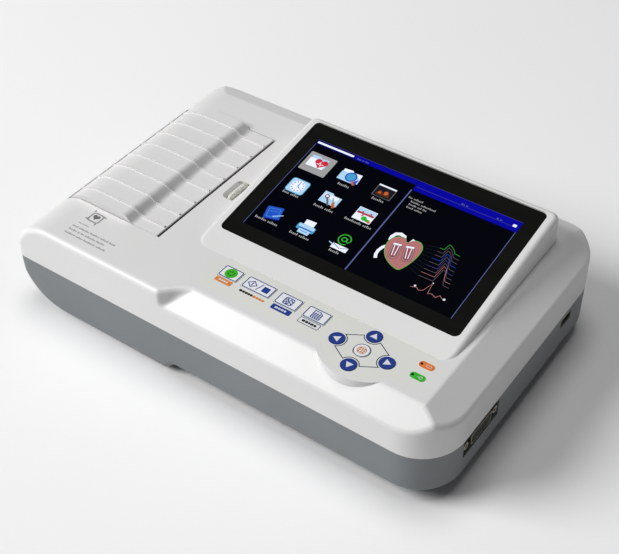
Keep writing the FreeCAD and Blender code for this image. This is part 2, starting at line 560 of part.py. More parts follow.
# The ribs stop short of the knuckle, clear of the case when the door opens.
door_ribs = carve("door_ribs", join("rib_set", *ribs),
                  box("rib_trim", ("hinge_x - 9", "hinge_x - 0.3"), ("-door_half", "door_half"),
                      ("hinge_z", "dome_z")))
door_blank = join("door_blank",
                  prism("door_skin_sheet", "y", door_top + door_under, "-door_half", "door_half"),
                  rod("door_knuckle", "knuckle", "y", "-door_half", "door_half", ("hinge_x", "hinge_z")),
                  prism("door_end_front", "y", door_top + door_end, "-door_half", "-door_half + arm_thick"),
                  prism("door_end_back", "y", door_top + door_end, "door_half - arm_thick", "door_half"),
                  door_ribs)
part("printer_door", carve(
    "door_cut", door_blank,
    rod("door_pin_bore_front", "pin_round + running_gap", "y", "-door_half - 1", "-door_half + 12",
        ("hinge_x", "hinge_z")),
    rod("door_pin_bore_back", "pin_round + running_gap", "y", "door_half - 12", "door_half + 1",
        ("hinge_x", "hinge_z")),
    rod("door_shaft_bore", "shaft_round + running_gap", "y", "-door_half - 1", "door_half + 1",
        ("roller_x", "roller_z"))))
part("hinge_pins", join(
    "hinge_pin_pair",
    rod("hinge_pin_front", "pin_round", "y", "-door_half - 6", "-door_half + 11", ("hinge_x", "hinge_z")),
    rod("hinge_pin_back", "pin_round", "y", "door_half - 11", "door_half + 6", ("hinge_x", "hinge_z"))))

# ---------------------------------------------------------------- print mechanism

part("roller_shaft", rod("roller_shaft_rod", "shaft_round", "y", "-shaft_half", "shaft_half",
                         ("roller_x", "roller_z")))
part("platen_roller", carve(
    "roller_tube",
    rod("roller_rubber", "roller_round", "y", "-roller_half", "roller_half", ("roller_x", "roller_z")),
    rod("roller_bore", "shaft_round", "y", "-roller_half - 1", "roller_half + 1", ("roller_x", "roller_z"))))


def tooth_space(teeth):
    """Outline of the gap between two teeth, centred on the sketch's horizontal axis."""
    module, pressure = SIZES["tooth_module"], math.radians(20)
    pitch = module * teeth / 2
    base, root, tip = pitch * math.cos(pressure), pitch - 1.15 * module, pitch + 0.85 * module
    pitch_involute = math.tan(pressure) - pressure

    def half_gap(radius):
        angle = math.acos(min(1, base / radius))
        tooth = math.pi / (2 * teeth) + pitch_involute - (math.tan(angle) - angle)
        return math.pi / teeth - tooth + SIZES["backlash"] / (4 * pitch)

    steps = 6
    start = max(base, root)
    radii = [root] + [start + (tip - start) * step / (steps - 1) for step in range(steps)] + [tip + module]
    upper = [(radius * math.cos(half_gap(radius)), radius * math.sin(half_gap(radius))) for radius in radii]
    points = upper + [(u, -v) for u, v in reversed(upper)]
    return [point for index, point in enumerate(points) if point != points[index - 1]], root, tip


def gear(name, teeth, centre, bore, phase):
    """Spur gear along Y; phase is the angle of one tooth gap, from +X towards +Z."""
    space, root, tip = tooth_space(teeth)
    body = doc.addObject("PartDesign::Body", name)
    plane = origin_plane(body, "XZ_Plane")
    blank_sketch = body.newObject("Sketcher::SketchObject", name + "_blank_outline")
    blank_sketch.AttachmentSupport = [(plane, "")]
    blank_sketch.MapMode = "FlatFace"
    blank_sketch.addGeometry([Part.Circle(Vector(), Vector(0, 0, 1), radius) for radius in (tip, bore)], False)
    blank = body.newObject("PartDesign::Pad", name + "_blank")
    blank.Profile = blank_sketch
    blank.setExpression("Length", bound("gear_wide"))
    space_sketch = body.newObject("Sketcher::SketchObject", name + "_space_outline")
    space_sketch.AttachmentSupport = [(plane, "")]
    space_sketch.MapMode = "FlatFace"
    corners = [Vector(u, v, 0) for u, v in space]
    space_sketch.addGeometry([Part.LineSegment(corners[index - 1], corners[index])
                              for index in range(len(corners))], False)
    cut = body.newObject("PartDesign::Pocket", name + "_space")
    cut.Profile = space_sketch
    cut.setExpression("Length", bound("gear_wide"))
    cut.Reversed = True
    doc.recompute()
    teeth_ring = body.newObject("PartDesign::PolarPattern", name + "_teeth")
    teeth_ring.Originals = [cut]
    teeth_ring.Axis = (space_sketch, ["N_Axis"])
    teeth_ring.Angle = 360
    teeth_ring.Occurrences = teeth
    body.Tip = teeth_ring
    far_face = SIZES["gear_y"] + SIZES["gear_wide"]
    body.Placement = FreeCAD.Placement(Vector(centre[0], far_face, centre[1]),
                                       FreeCAD.Rotation(Vector(0, -1, 0), phase))
    return part(name, body)


module = SIZES["tooth_module"]
platen_teeth, idler_teeth, pinion_teeth = (SIZES[name] for name in ("platen_teeth", "idler_teeth", "pinion_teeth"))
platen_centre = (SIZES["roller_x"], SIZES["roller_z"])
idler_centre = (platen_centre[0], platen_centre[1] - module * (platen_teeth + idler_teeth) / 2)
pinion_way = SIZES["pinion_angle"]
pinion_reach = module * (idler_teeth + pinion_teeth) / 2
pinion_centre = (idler_centre[0] + pinion_reach * math.cos(math.radians(pinion_way)),
                 idler_centre[1] + pinion_reach * math.sin(math.radians(pinion_way)))
# A gap of the platen gear faces down onto a tooth of the idler; the pinion is turned to suit.
idler_tooth = 90
idler_turns = (pinion_way - idler_tooth) * idler_teeth / 360
pinion_tooth = pinion_way + 180 - (0.5 - idler_turns) * 360 / pinion_teeth
gear("platen_gear", platen_teeth, platen_centre, SIZES["shaft_round"], -90)
gear("idler_gear", idler_teeth, idler_centre, value("axle_round + running_gap"), idler_tooth + 180 / idler_teeth)
gear("motor_pinion", pinion_teeth, pinion_centre, SIZES["motor_shaft_round"], pinion_tooth + 180 / pinion_teeth)

idler_x, idler_z = (str(round(place, 4)) for place in idler_centre)
pinion_x, pinion_z = (str(round(place, 4)) for place in pinion_centre)
part("motor_shaft", rod("motor_shaft_rod", "motor_shaft_round", "y", "motor_y + 3", "gear_y + gear_wide",
                        (pinion_x, pinion_z)))
motor_blank = join("motor_blank",
                   rod("motor_can", "motor_round", "y", "motor_y", "motor_y + motor_long", (pinion_x, pinion_z)),
                   rod("motor_lug_a", "3.5", "y", "motor_y + motor_long - 1", "motor_y + motor_long",
                       (f"{pinion_x} + motor_round", pinion_z)))
part("stepper_motor", carve("motor_cut", motor_blank,
                            rod("motor_shaft_bore", "motor_shaft_round + running_gap", "y", "motor_y + 2.9",
                                "motor_y + motor_long + 1", (pinion_x, pinion_z))))
part("idler_axle", join("idler_axle_piece",
                        rod("idler_axle_rod", "axle_round", "y", "plate_y + plate_thick", "gear_y + gear_wide + 1",
                            (idler_x, idler_z)),
                        rod("idler_axle_head", "axle_round + 1.5", "y", "gear_y + gear_wide + 0.3",
                            "gear_y + gear_wide + 1", (idler_x, idler_z))))
drive_sheet = prism("drive_sheet", "y", [
    ("-86", "floor_left + wall + 0.5", "2"), ("-50", "floor_left + wall + 0.5", "2"), ("-50", "46", "4"),
    ("-66", "53", "4"), ("-86", "53", "4"),
], "plate_y", "plate_y + plate_thick")
part("drive_plate", carve("drive_plate_cut", drive_sheet,
                          rod("drive_shaft_hole", "motor_shaft_round + 1", "y", "plate_y - 1", "plate_y + 5",
                              (pinion_x, pinion_z))))
head_left = "roller_x + roller_round + head_gap"
sink_left = f"{head_left} + head_thick"
part("print_head", box("head_bar", (head_left, sink_left), ("-head_half", "head_half"),
                       ("head_low_z", "head_high_z")))
fins = [box(f"sink_fin_{index}", (f"{sink_left} + 1.5", f"{sink_left} + sink_deep"), ("-head_half", "head_half"),
            (f"head_low_z + 1 + {index} * 2.4", f"head_low_z + 2 + {index} * 2.4")) for index in range(5)]
part("head_heatsink", join("heatsink_piece",
                           box("sink_back", (sink_left, f"{sink_left} + 1.5"), ("-head_half", "head_half"),
                               ("head_low_z + 1", "head_high_z")), *fins))

# ---------------------------------------------------------------- paper

tray_side = "tray_round + tray_wall"
tray_blank = prism("tray_blank", "y", [
    (f"roll_x - {tray_side}", "tray_top_z"), (f"roll_x - {tray_side}", f"roll_z - {tray_side}", "tray_round"),
    (f"roll_x + {tray_side}", f"roll_z - {tray_side}", "tray_round"), (f"roll_x + {tray_side}", "tray_top_z"),
], "-tray_half", "tray_half")
tray_half_inside = "tray_half - 2.5"
part("paper_tray", carve(
    "tray_cut", tray_blank,
    rod("tray_hollow", "tray_round", "y", f"-({tray_half_inside})", tray_half_inside, ("roll_x", "roll_z")),
    box("tray_mouth", ("roll_x - tray_round", "roll_x + tray_round"), (f"-({tray_half_inside})", tray_half_inside),
        ("roll_z", "tray_top_z + 1")),
    rod("spindle_seat", "spindle_round", "y", "-tray_half - 1", "tray_half + 1", ("roll_x", "roll_z")),
    box("spindle_way", ("roll_x - spindle_round", "roll_x + spindle_round"), ("-tray_half - 1", "tray_half + 1"),
        ("roll_z", "tray_top_z + 1"))))
part("roll_spindle", rod("spindle_rod", "spindle_round", "y", "-tray_half", "tray_half", ("roll_x", "roll_z")))
part("roll_core", carve("core_tube",
                        rod("core_outside", "core_round", "y", "-roll_half", "roll_half", ("roll_x", "roll_z")),
                        rod("core_inside", "spindle_round + running_gap", "y", "-roll_half - 1", "roll_half + 1",
                            ("roll_x", "roll_z"))))
part("paper_roll", carve("roll_tube",
                         rod("roll_outside", "roll_round", "y", "-roll_half", "roll_half", ("roll_x", "roll_z")),
                         rod("roll_inside", "core_round", "y", "-roll_half - 1", "roll_half + 1",
                             ("roll_x", "roll_z"))))

# ---------------------------------------------------------------- latch

plate_left = f"{sink_left} + 1.9"
hook_solids = []
ARM_YS = {"front": ("-door_half", "-door_half + arm_thick"), "back": ("door_half - arm_thick", "door_half")}
for end, ys in ARM_YS.items():
    hook_solids.append(box(f"hook_post_{end}", ("lip_x + 0.6", f"{plate_left} + 1"), ys,
                           ("roller_z + 2.6", "plate_high_z")))
    hook_solids.append(box(f"hook_nose_{end}", ("nose_x", "lip_x + 1.5"), ys,
                           ("roller_z + 2.6", "roller_z + 4.2")))
bar = prism("latch_bar", "y", [
    ("bar_left", "plate_low_z"), ("bar_right", "plate_low_z"), ("bar_right", "deck_z", "1.5"),
    ("bar_left", "deck_z", "1.5"),
], "latch_front + 0.5", "latch_back - 0.5")
part("latch_slider", join("latch_piece", bar, *hook_solids,
                          box("latch_plate", (plate_left, "latch_right + 1"), ("-door_half", "door_half"),
                              ("plate_low_z", "plate_high_z"))))
strap_solids = []
for end, middle in (("front", "-36"), ("back", "36")):
    ys = (f"{middle} - 3", f"{middle} + 3")
    strap_solids.append(box(f"strap_bar_{end}", ("-60", "-47"), ys, ("plate_low_z - 1.4", "plate_low_z - 0.4")))
    strap_solids.append(box(f"strap_post_{end}", ("-48.5", "-47"), ys, ("plate_low_z - 1.4", "deck_z - wall")))
part("latch_straps", join("latch_strap_pair", *strap_solids))
spring_post = box("spring_block", ("-46", "-44.5"), ("22", "28"), ("plate_low_z - 1", "deck_z - wall"))
spring_leaf = prism("spring_leaf", "y", [
    ("-49.6", "plate_low_z"), ("-49.2", "plate_low_z"), ("-46", "deck_z - wall - 1"), ("-46", "deck_z - wall"),
    ("-47", "deck_z - wall"),
], "22.5", "27.5")
part("latch_spring", join("latch_spring_piece", spring_post, spring_leaf))

# ---------------------------------------------------------------- electronics

part("main_board", plate("main_board_sheet", ("main_left", "main_right"), ("-main_half", "main_half"),
                         ("main_z", board_top), "2"))
part("signal_shield", plate("shield_can", ("98", "140"), ("-78", "-28"), (board_top, f"{board_top} + 8"), "1.5"))
part("processor_module", join("processor_stack",
                              plate("processor_board", ("64", "112"), ("0", "44"),
                                    (f"{board_top} + 3", f"{board_top} + 4.2"), "1"),
                              box("processor_socket", ("66", "110"), ("2", "7"), (board_top, f"{board_top} + 3")),
                              box("processor_chip", ("78", "98"), ("14", "34"),
                                  (f"{board_top} + 4.2", f"{board_top} + 6"))))
part("board_screws", join("board_screw_set", *[
    rod(f"board_screw_{post}", "2.6", "z", board_top, f"{board_top} + 1.8", centre)
    for post, centre in BOARD_POSTS.items()]))
part("power_board", plate("power_board_sheet", ("-26", "44"), ("28", "76"), ("20", "21.6"), "2"))
part("transformer", join("transformer_piece", box("transformer_core", ("-20", "10"), ("38", "64"), ("21.6", "40")),
                         box("transformer_bobbin", ("-14", "4"), ("34", "68"), ("24.5", "37"))))
part("battery_pack", plate("battery_block", ("battery_left", "battery_right"), ("battery_front", "battery_back"),
                           ("battery_low_z", "battery_high_z"), "4"))
cover_xs = ("battery_left - cover_margin", "battery_right + cover_margin")
cover_ys = ("battery_front - cover_margin", "battery_back + cover_margin")
COVER_SCREWS = {"front": ("(battery_left + battery_right) / 2", "battery_front - 1.2"),
                "back": ("(battery_left + battery_right) / 2", "battery_back + 1.2")}
part("battery_cover", carve("cover_cut",
                            plate("cover_sheet", cover_xs, cover_ys, ("floor_right", "floor_right + cover_thick"), "3"),
                            *[rod(f"cover_hole_{end}", "1.6", "z", "floor_right - 1", "floor_right + 4", centre)
                              for end, centre in COVER_SCREWS.items()]))
part("battery_screws", join("battery_screw_pair", *[
    solid for end, centre in COVER_SCREWS.items() for solid in (
        rod(f"battery_screw_{end}", "1.5", "z", "floor_right - 0.5", "floor_right + cover_thick", centre),
        rod(f"battery_screw_head_{end}", "2.6", "z", "floor_right - 1", "floor_right", centre))]))
part("speaker", join("speaker_piece",
                     rod("speaker_cone_ring", "speaker_round", "z", "floor_right + wall", "floor_right + wall + 3",
                         ("speaker_x", "speaker_y")),
                     rod("speaker_magnet", "speaker_round * 0.6", "z", "floor_right + wall + 3",
                         "floor_right + wall + 8", ("speaker_x", "speaker_y"))))
part("display_cable", prism("display_ribbon", "x", [
    ("10", board_top), ("10.5", board_top), ("10.5", "45", "4"), ("32.5", "55", "4"), ("32.5", "75.5"),
    ("32", "75.5"), ("32", "55.3", "4.3"), ("10", "45.3", "4.3"),
], "114", "127"))
part("keypad_cable", prism("keypad_ribbon", "x", [
    ("-76", board_top), ("-75.5", board_top), ("-75.5", "key_board_z"), ("-76", "key_board_z"),
], "66", "84"))

# ---------------------------------------------------------------- ports


def d_outline(grow):
    """Fifteen-way D shape in the YZ plane, larger all round by grow."""
    low, high = f"lead_z - 4.2 - {grow}", f"lead_z + 4.2 + {grow}"
    return [(f"lead_y - 11.2 - {grow}", low, "2"), (f"lead_y + 11.2 + {grow}", low, "2"),
            (f"lead_y + 12.5 + {grow}", high, "2"), (f"lead_y - 12.5 - {grow}", high, "2")]


lead_flange = plate("lead_flange", ("lead_face_x - 0.8", "lead_face_x"), ("lead_y - 19.6", "lead_y + 19.6"),
                    ("lead_z - 6.2", "lead_z + 6.2"), "0.3")
part("lead_connector_shell", carve("lead_shell_cut", join(
    "lead_shell_blank", lead_flange, prism("lead_shell_wall", "x", d_outline(0), "lead_face_x - 0.8", "case_right")),
    prism("lead_shell_hollow", "x", d_outline(-0.45), "lead_face_x - 2", "case_right + 1")))
pin_rows = [(f"lead_y + {2.77 * (index - 3.5)}", "lead_z + 1.42") for index in range(8)]
pin_rows += [(f"lead_y + {2.77 * (index - 3)}", "lead_z - 1.42") for index in range(7)]
part("lead_connector_insert", carve("lead_insert_cut", join(
    "lead_insert_blank", prism("lead_insert_nose", "x", d_outline(-0.45), "lead_face_x - 0.8", "case_right - 0.4"),
    box("lead_insert_body", ("lead_face_x - 12", "lead_face_x - 0.8"), ("lead_y - 12", "lead_y + 12"),
        (board_top, "lead_z + 5"))),
    *[rod(f"lead_contact_{index}", "0.55", "x", "case_right - 4", "case_right", centre)
      for index, centre in enumerate(pin_rows)]))
standoffs = []
for end, place in (("front", "lead_y - 16.65"), ("back", "lead_y + 16.65")):
    hexagon = [(f"{place} + {2.75 * math.cos(math.radians(60 * corner)):.4f}",
                f"lead_z + {2.75 * math.sin(math.radians(60 * corner)):.4f}") for corner in range(6)]
    standoffs.append(prism(f"standoff_{end}", "x", hexagon, "lead_face_x", "case_right - 0.5"))
part("connector_standoffs", carve("standoff_pair", join("standoff_blank", *standoffs), *[
    rod(f"standoff_thread_{end}", "1.2", "x", "lead_face_x + 0.5", "case_right", (place, "lead_z"))
    for end, place in (("front", "lead_y - 16.65"), ("back", "lead_y + 16.65"))]))
usb_shell = carve("usb_shell",
                  box("usb_can", ("case_right - 14", "case_right - 0.3"), ("usb_y - 6.6", "usb_y + 6.6"),
                      ("usb_z - 3", "usb_z + 3")),
                  box("usb_hollow", ("case_right - 12", "case_right + 1"), ("usb_y - 6.2", "usb_y + 6.2"),
                      ("usb_z - 2.6", "usb_z + 2.6")))
part("usb_port", join("usb_piece", usb_shell,
                      box("usb_tongue", ("case_right - 12.5", "case_right - 1.5"), ("usb_y - 5.6", "usb_y + 5.6"),
                          ("usb_z + 0.2", "usb_z + 2")),
                      box("usb_base", ("case_right - 14", "case_right - 8"), ("usb_y - 6", "usb_y + 6"),
                          (board_top, "usb_z - 2.8"))))
part("network_port", carve(
    "network_shell", box("network_can", ("network_x - 8", "network_x + 8"), ("case_back - 16", "case_back - 0.3"),
                         (board_top, f"{board_top} + 13.4")),
    box("network_hollow", ("network_x - 5.9", "network_x + 5.9"), ("case_back - 13", "case_back + 1"),
        (f"{board_top} + 2.5", f"{board_top} + 10.5"))))
inlet_block = box("inlet_block", ("inlet_x - 13.7", "inlet_x + 13.7"), ("case_back - 20", "case_back"),
                  ("inlet_z - 9.9", "inlet_z + 9.9"))
inlet_cut = carve("inlet_cut", inlet_block,
                  prism("inlet_hollow", "y", [
                      ("inlet_x - 12", "inlet_z - 8.1", "1"), ("inlet_x + 12", "inlet_z - 8.1", "1"),
                      ("inlet_x + 12", "inlet_z + 4", "1"), ("inlet_x + 8", "inlet_z + 8.1", "1"),
                      ("inlet_x - 8", "inlet_z + 8.1", "1"), ("inlet_x - 12", "inlet_z + 4", "1"),
                  ], "case_back - 16", "case_back + 1"))
blades = [box(f"inlet_blade_{index}", (f"inlet_x + {x} - 1", f"inlet_x + {x} + 1"),
              ("case_back - 16", "case_back - 3"), (f"inlet_z + {z} - 2", f"inlet_z + {z} + 2"))
          for index, (x, z) in enumerate(((-7, -3.5), (0, 0.5), (7, -3.5)))]
part("mains_inlet", join("inlet_piece", inlet_cut, *blades))

# ---------------------------------------------------------------- check and write

doc.recompute()
problems = []
for item in doc.Objects:
    if "Invalid" in item.State or "Error" in item.State:
        problems.append(f"{item.Name}: {item.State}")
for name, item in parts.items():
    if item.Shape.isNull() or not item.Shape.isValid() or not item.Shape.Solids:
        problems.append(f"{name}: no valid solid")
if problems:
    raise RuntimeError("; ".join(problems))

os.makedirs("parts", exist_ok=True)
for name, item in parts.items():
    item.Shape.exportStep(f"parts/{name}.step")
    print(f"{name}: {len(item.Shape.Solids)} solid(s), {item.Shape.Volume:.1f} mm3")
print(f"{len(parts)} parts written")
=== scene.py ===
import json
import math

import bpy
from mathutils import Matrix, Vector


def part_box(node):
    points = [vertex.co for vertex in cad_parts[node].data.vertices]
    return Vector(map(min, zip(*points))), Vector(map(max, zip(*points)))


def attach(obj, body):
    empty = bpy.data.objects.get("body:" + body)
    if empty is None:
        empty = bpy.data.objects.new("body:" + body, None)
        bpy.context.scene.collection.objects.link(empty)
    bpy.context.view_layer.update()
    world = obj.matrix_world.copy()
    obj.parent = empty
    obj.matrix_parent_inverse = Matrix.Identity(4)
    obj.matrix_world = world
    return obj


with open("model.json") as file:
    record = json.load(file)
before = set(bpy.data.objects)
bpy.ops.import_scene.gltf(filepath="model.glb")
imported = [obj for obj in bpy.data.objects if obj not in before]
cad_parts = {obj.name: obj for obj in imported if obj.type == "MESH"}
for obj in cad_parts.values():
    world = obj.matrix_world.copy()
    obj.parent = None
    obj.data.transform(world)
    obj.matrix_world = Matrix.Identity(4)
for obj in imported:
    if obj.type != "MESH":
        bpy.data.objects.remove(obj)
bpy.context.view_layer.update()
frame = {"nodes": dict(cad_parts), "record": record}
nodes = frame["nodes"]

# The portable electrocardiograph's looks around its CAD frame. Helpers take millimetres and turn
# them into metres where a mesh is made.
MM = 0.001

# ---------------------------------------------------------------- materials


class Graph:
    """A node material around one Principled shader."""

    def __init__(self, name, **settings):
        self.material = bpy.data.materials.new(name)
        self.material.use_nodes = True
        self.nodes = self.material.node_tree.nodes
        self.links = self.material.node_tree.links
        self.shader = self.nodes["Principled BSDF"]
        self.place = self.nodes.new("ShaderNodeTexCoord").outputs["Object"]
        for socket, setting in settings.items():
            self.shader.inputs[socket.replace("_", " ")].default_value = setting

    def add(self, kind, inputs=(), **fields):
        node = self.nodes.new("ShaderNode" + kind)
        for field, setting in fields.items():
            setattr(node, field, setting)
        for socket, source in dict(inputs).items():
            if isinstance(source, bpy.types.NodeSocket):
                self.links.new(source, node.inputs[socket])
            else:
                node.inputs[socket].default_value = source
        return node

    def stretched(self, x, y, z):
        return self.add("Mapping", {"Vector": self.place, "Scale": (x, y, z)}).outputs["Vector"]

    def noise(self, scale, detail=3.0, vector=None):
        source = vector or self.place
        return self.add("TexNoise", {"Vector": source, "Scale": scale, "Detail": detail}).outputs["Fac"]

    def ramp(self, source, stops):
        node = self.add("ValToRGB", {"Fac": source})
        elements = node.color_ramp.elements
        for index, (place, colour) in enumerate(stops):
            element = elements[index] if index < 2 else elements.new(place)
            element.position = place
            element.color = (*colour, 1.0)
        return node.outputs["Color"]

    def spread(self, source, low, high):
        return self.add("MapRange", {"Value": source, "To Min": low, "To Max": high}).outputs["Result"]

    def set(self, socket, source):
        self.links.new(source, self.shader.inputs[socket])

    def bump(self, source, height):
        node = self.add("Bump", {"Height": source, "Distance": height, "Strength": 1.0})
        self.set("Normal", node.outputs["Normal"])


def shade(colour, factor):
    return tuple(min(1.0, channel * factor) for channel in colour)


def moulded(name, colour, roughness=0.5, grain=2600.0, relief=0.000012, patches=0.04, **settings):
    """Moulded plastic or rubber: fine spark texture, faint patches in colour and gloss."""
    graph = Graph(name, **settings)
    patch = graph.noise(14.0, 4.0)
    graph.set("Base Color", graph.ramp(patch, [
        (0.3, shade(colour, 1.0 - patches)), (0.7, shade(colour, 1.0 + patches / 2))]))
    texture = graph.noise(grain, 2.0)
    graph.set("Roughness", graph.spread(texture, roughness - 0.06, roughness + 0.08))
    graph.bump(texture, relief)
    return graph.material


def metal(name, colour, roughness=0.3, lines=(60.0, 2600.0, 2600.0), relief=0.000006, **settings):
    """Brushed or plated metal with fine lines along one axis."""
    graph = Graph(name, Metallic=1.0, **settings)
    brushed = graph.noise(1.0, 3.0, graph.stretched(*lines))
    graph.set("Base Color", graph.ramp(graph.noise(40.0), [
        (0.3, shade(colour, 0.86)), (0.7, shade(colour, 1.06))]))
    graph.set("Roughness", graph.spread(brushed, roughness - 0.1, roughness + 0.14))
    graph.bump(brushed, relief)
    return graph.material


def printed_ink(name, colour, glow=0.0, roughness=0.45, gloss=0.4):
    """Screen-printed or lit colour: fine dots in tone, and a soft mottling."""
    graph = Graph(name, Specular_IOR_Level=gloss)
    dots = graph.ramp(graph.noise(5200.0, 1.0), [(0.35, shade(colour, 0.88)), (0.65, shade(colour, 1.08))])
    graph.set("Base Color", dots)
    graph.set("Roughness", graph.spread(graph.noise(300.0), roughness - 0.05, roughness + 0.05))
    if glow:
        graph.set("Emission Color", dots)
        graph.shader.inputs["Emission Strength"].default_value = glow
    return graph.material


def circuit_board(name, mask, track):
    """Solder mask over copper tracks."""
    graph = Graph(name, Coat_Weight=0.4, Coat_Roughness=0.2)
    cells = graph.add("TexVoronoi", {"Vector": graph.place, "Scale": 260.0}, distance="MANHATTAN")
    lines = graph.add("TexWave", {"Vector": graph.place, "Scale": 130.0, "Distortion": 6.0,
                                  "Detail": 1.0, "Detail Scale": 30.0}, wave_profile="SAW")
    graph.set("Base Color", graph.ramp(lines.outputs["Fac"], [(0.44, mask), (0.52, track)]))
    graph.set("Roughness", graph.spread(cells.outputs["Distance"], 0.3, 0.5))
    graph.bump(lines.outputs["Fac"], 0.00003)
    return graph.material


def wound_paper(name):
    """Paper roll: the turns show as rings on the ends."""
    graph = Graph(name, Roughness=0.8)
    low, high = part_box("paper_roll")
    middle = (low + high) / 2
    centred = graph.add("Mapping", {"Vector": graph.place, "Location": tuple(-middle)}).outputs["Vector"]
    rings = graph.add("TexWave", {"Vector": centred, "Scale": 900.0, "Distortion": 0.6, "Detail": 1.0},
                      wave_type="RINGS", rings_direction="Y")
    graph.set("Base Color", graph.ramp(rings.outputs["Fac"], [
        (0.1, (0.72, 0.70, 0.66)), (0.6, (0.9, 0.89, 0.86))]))
    graph.bump(rings.outputs["Fac"], 0.00004)
    return graph.material


def screen_glass(name):
    """Black-printed cover glass, with a few faint wipe marks in its gloss."""
    graph = Graph(name, Specular_IOR_Level=0.06)
    smears = graph.noise(1.0, 5.0, graph.stretched(18.0, 70.0, 18.0))
    graph.set("Base Color", graph.ramp(smears, [(0.4, (0.0125, 0.0125, 0.0115)), (0.7, (0.016, 0.016, 0.015))]))
    graph.set("Roughness", graph.spread(smears, 0.08, 0.2))
    return graph.material


def lamp_lens(name, colour):
    """Translucent coloured lens with moulded facets."""
    graph = Graph(name, Coat_Weight=0.5, Coat_Roughness=0.1)
    facets = graph.add("TexVoronoi", {"Vector": graph.place, "Scale": 1100.0}).outputs["Distance"]
    tint = graph.ramp(facets, [(0.1, shade(colour, 1.15)), (0.8, shade(colour, 0.8))])
    graph.set("Base Color", tint)
    graph.set("Emission Color", tint)
    graph.set("Roughness", graph.spread(facets, 0.2, 0.35))
    graph.shader.inputs["Emission Strength"].default_value = 0.12
    graph.bump(facets, 0.00002)
    return graph.material


SLOT_LOOKS = {
    "case_white": moulded("case_white_plastic", (0.80, 0.795, 0.79), 0.42, patches=0.02, Coat_Weight=0.12,
                          Coat_Roughness=0.25),
    "case_grey": moulded("case_grey_plastic", (0.255, 0.27, 0.28), 0.5, patches=0.05),
    "screen_glass": screen_glass("printed_glass"),
    "black_rubber": moulded("rubber_black", (0.022, 0.022, 0.022), 0.7, 1400.0, 0.00003, 0.2),
    "dark_metal": metal("metal_dark", (0.13, 0.13, 0.14), 0.42),
    "overlay_beige": moulded("overlay_film", (0.785, 0.79, 0.75), 0.55, 4200.0, 0.000008, 0.03),
    "circuit_board": circuit_board("board_green", (0.012, 0.13, 0.05), (0.03, 0.24, 0.09)),
    "spring_steel": metal("steel_bright", (0.62, 0.62, 0.62), 0.25),
    "key_white": moulded("key_film_white", (0.87, 0.88, 0.90), 0.45, 4200.0, 0.000008, 0.02),
    "key_blue": moulded("key_film_blue", (0.020, 0.062, 0.31), 0.4, 4200.0, 0.000008, 0.05),
    "lamp_orange": lamp_lens("lens_orange", (0.80, 0.24, 0.05)),
    "lamp_green": lamp_lens("lens_green", (0.06, 0.50, 0.04)),
    "gear_plastic": moulded("acetal_natural", (0.80, 0.77, 0.68), 0.4, 1500.0, 0.00002, 0.06),
    "gear_brass": metal("brass_machined", (0.72, 0.52, 0.22), 0.28),
    "zinc_plate": metal("zinc_plated", (0.64, 0.65, 0.66), 0.38),
    "head_ceramic": moulded("ceramic_glaze", (0.15, 0.14, 0.13), 0.25, 700.0, 0.00001, 0.1, Coat_Weight=0.6),
    "aluminium": metal("aluminium_extruded", (0.74, 0.75, 0.76), 0.34, (2600.0, 60.0, 2600.0)),
    "tray_black": moulded("tray_plastic", (0.035, 0.035, 0.038), 0.5, 1800.0, 0.00002, 0.1),
    "card": moulded("pressed_card", (0.42, 0.29, 0.17), 0.85, 900.0, 0.00006, 0.2),
    "paper": wound_paper("thermal_paper"),
    "latch_cream": moulded("latch_plastic", (0.76, 0.75, 0.68), 0.45, patches=0.03),
    "battery_wrap": moulded("shrink_film", (0.04, 0.10, 0.32), 0.3, 300.0, 0.00006, 0.12, Coat_Weight=0.5),
    "cable_film": moulded("flex_film", (0.68, 0.62, 0.48), 0.35, 700.0, 0.00002, 0.1),
    "connector_metal": metal("plated_shell", (0.64, 0.59, 0.47), 0.3),
    "black_plastic": moulded("connector_plastic", (0.02, 0.02, 0.021), 0.45, 1800.0, 0.00002, 0.15),
}


slots = {part["node"]: part["material_slot"] for part in frame["record"]["subparts"]}
for name, node in nodes.items():
    node.data.materials.clear()
    node.data.materials.append(SLOT_LOOKS[slots[name]])

# ---------------------------------------------------------------- flat shapes
# A shape is (points, faces) in a plane, counter-clockwise, in millimetres.


def polygon(*points):
    area = sum(a[0] * b[1] - b[0] * a[1] for a, b in zip(points, points[1:] + points[:1]))
    ordered = list(points) if area > 0 else list(reversed(points))
    return ordered, [tuple(range(len(ordered)))]


def arc(x, y, radius, start, end, steps=24):
    """Points along an arc, angles in degrees."""
    angles = [math.radians(start + (end - start) * step / steps) for step in range(steps + 1)]
    return [(x + radius * math.cos(angle), y + radius * math.sin(angle)) for angle in angles]


def disc(x, y, radius, steps=40):
    return polygon(*arc(x, y, radius, 0, 360, steps)[:-1])


def rounded(x, y, wide, high, corner=0.8, steps=5):
    """Rectangle about a centre, with round corners."""
    corner = min(corner, wide / 2 - 0.01, high / 2 - 0.01)
    points = []
    for quarter, (side_x, side_y) in enumerate(((1, 1), (-1, 1), (-1, -1), (1, -1))):
        centre = (x + side_x * (wide / 2 - corner), y + side_y * (high / 2 - corner))
        points += arc(*centre, corner, 90 * quarter, 90 * quarter + 90, steps)
    return polygon(*points)


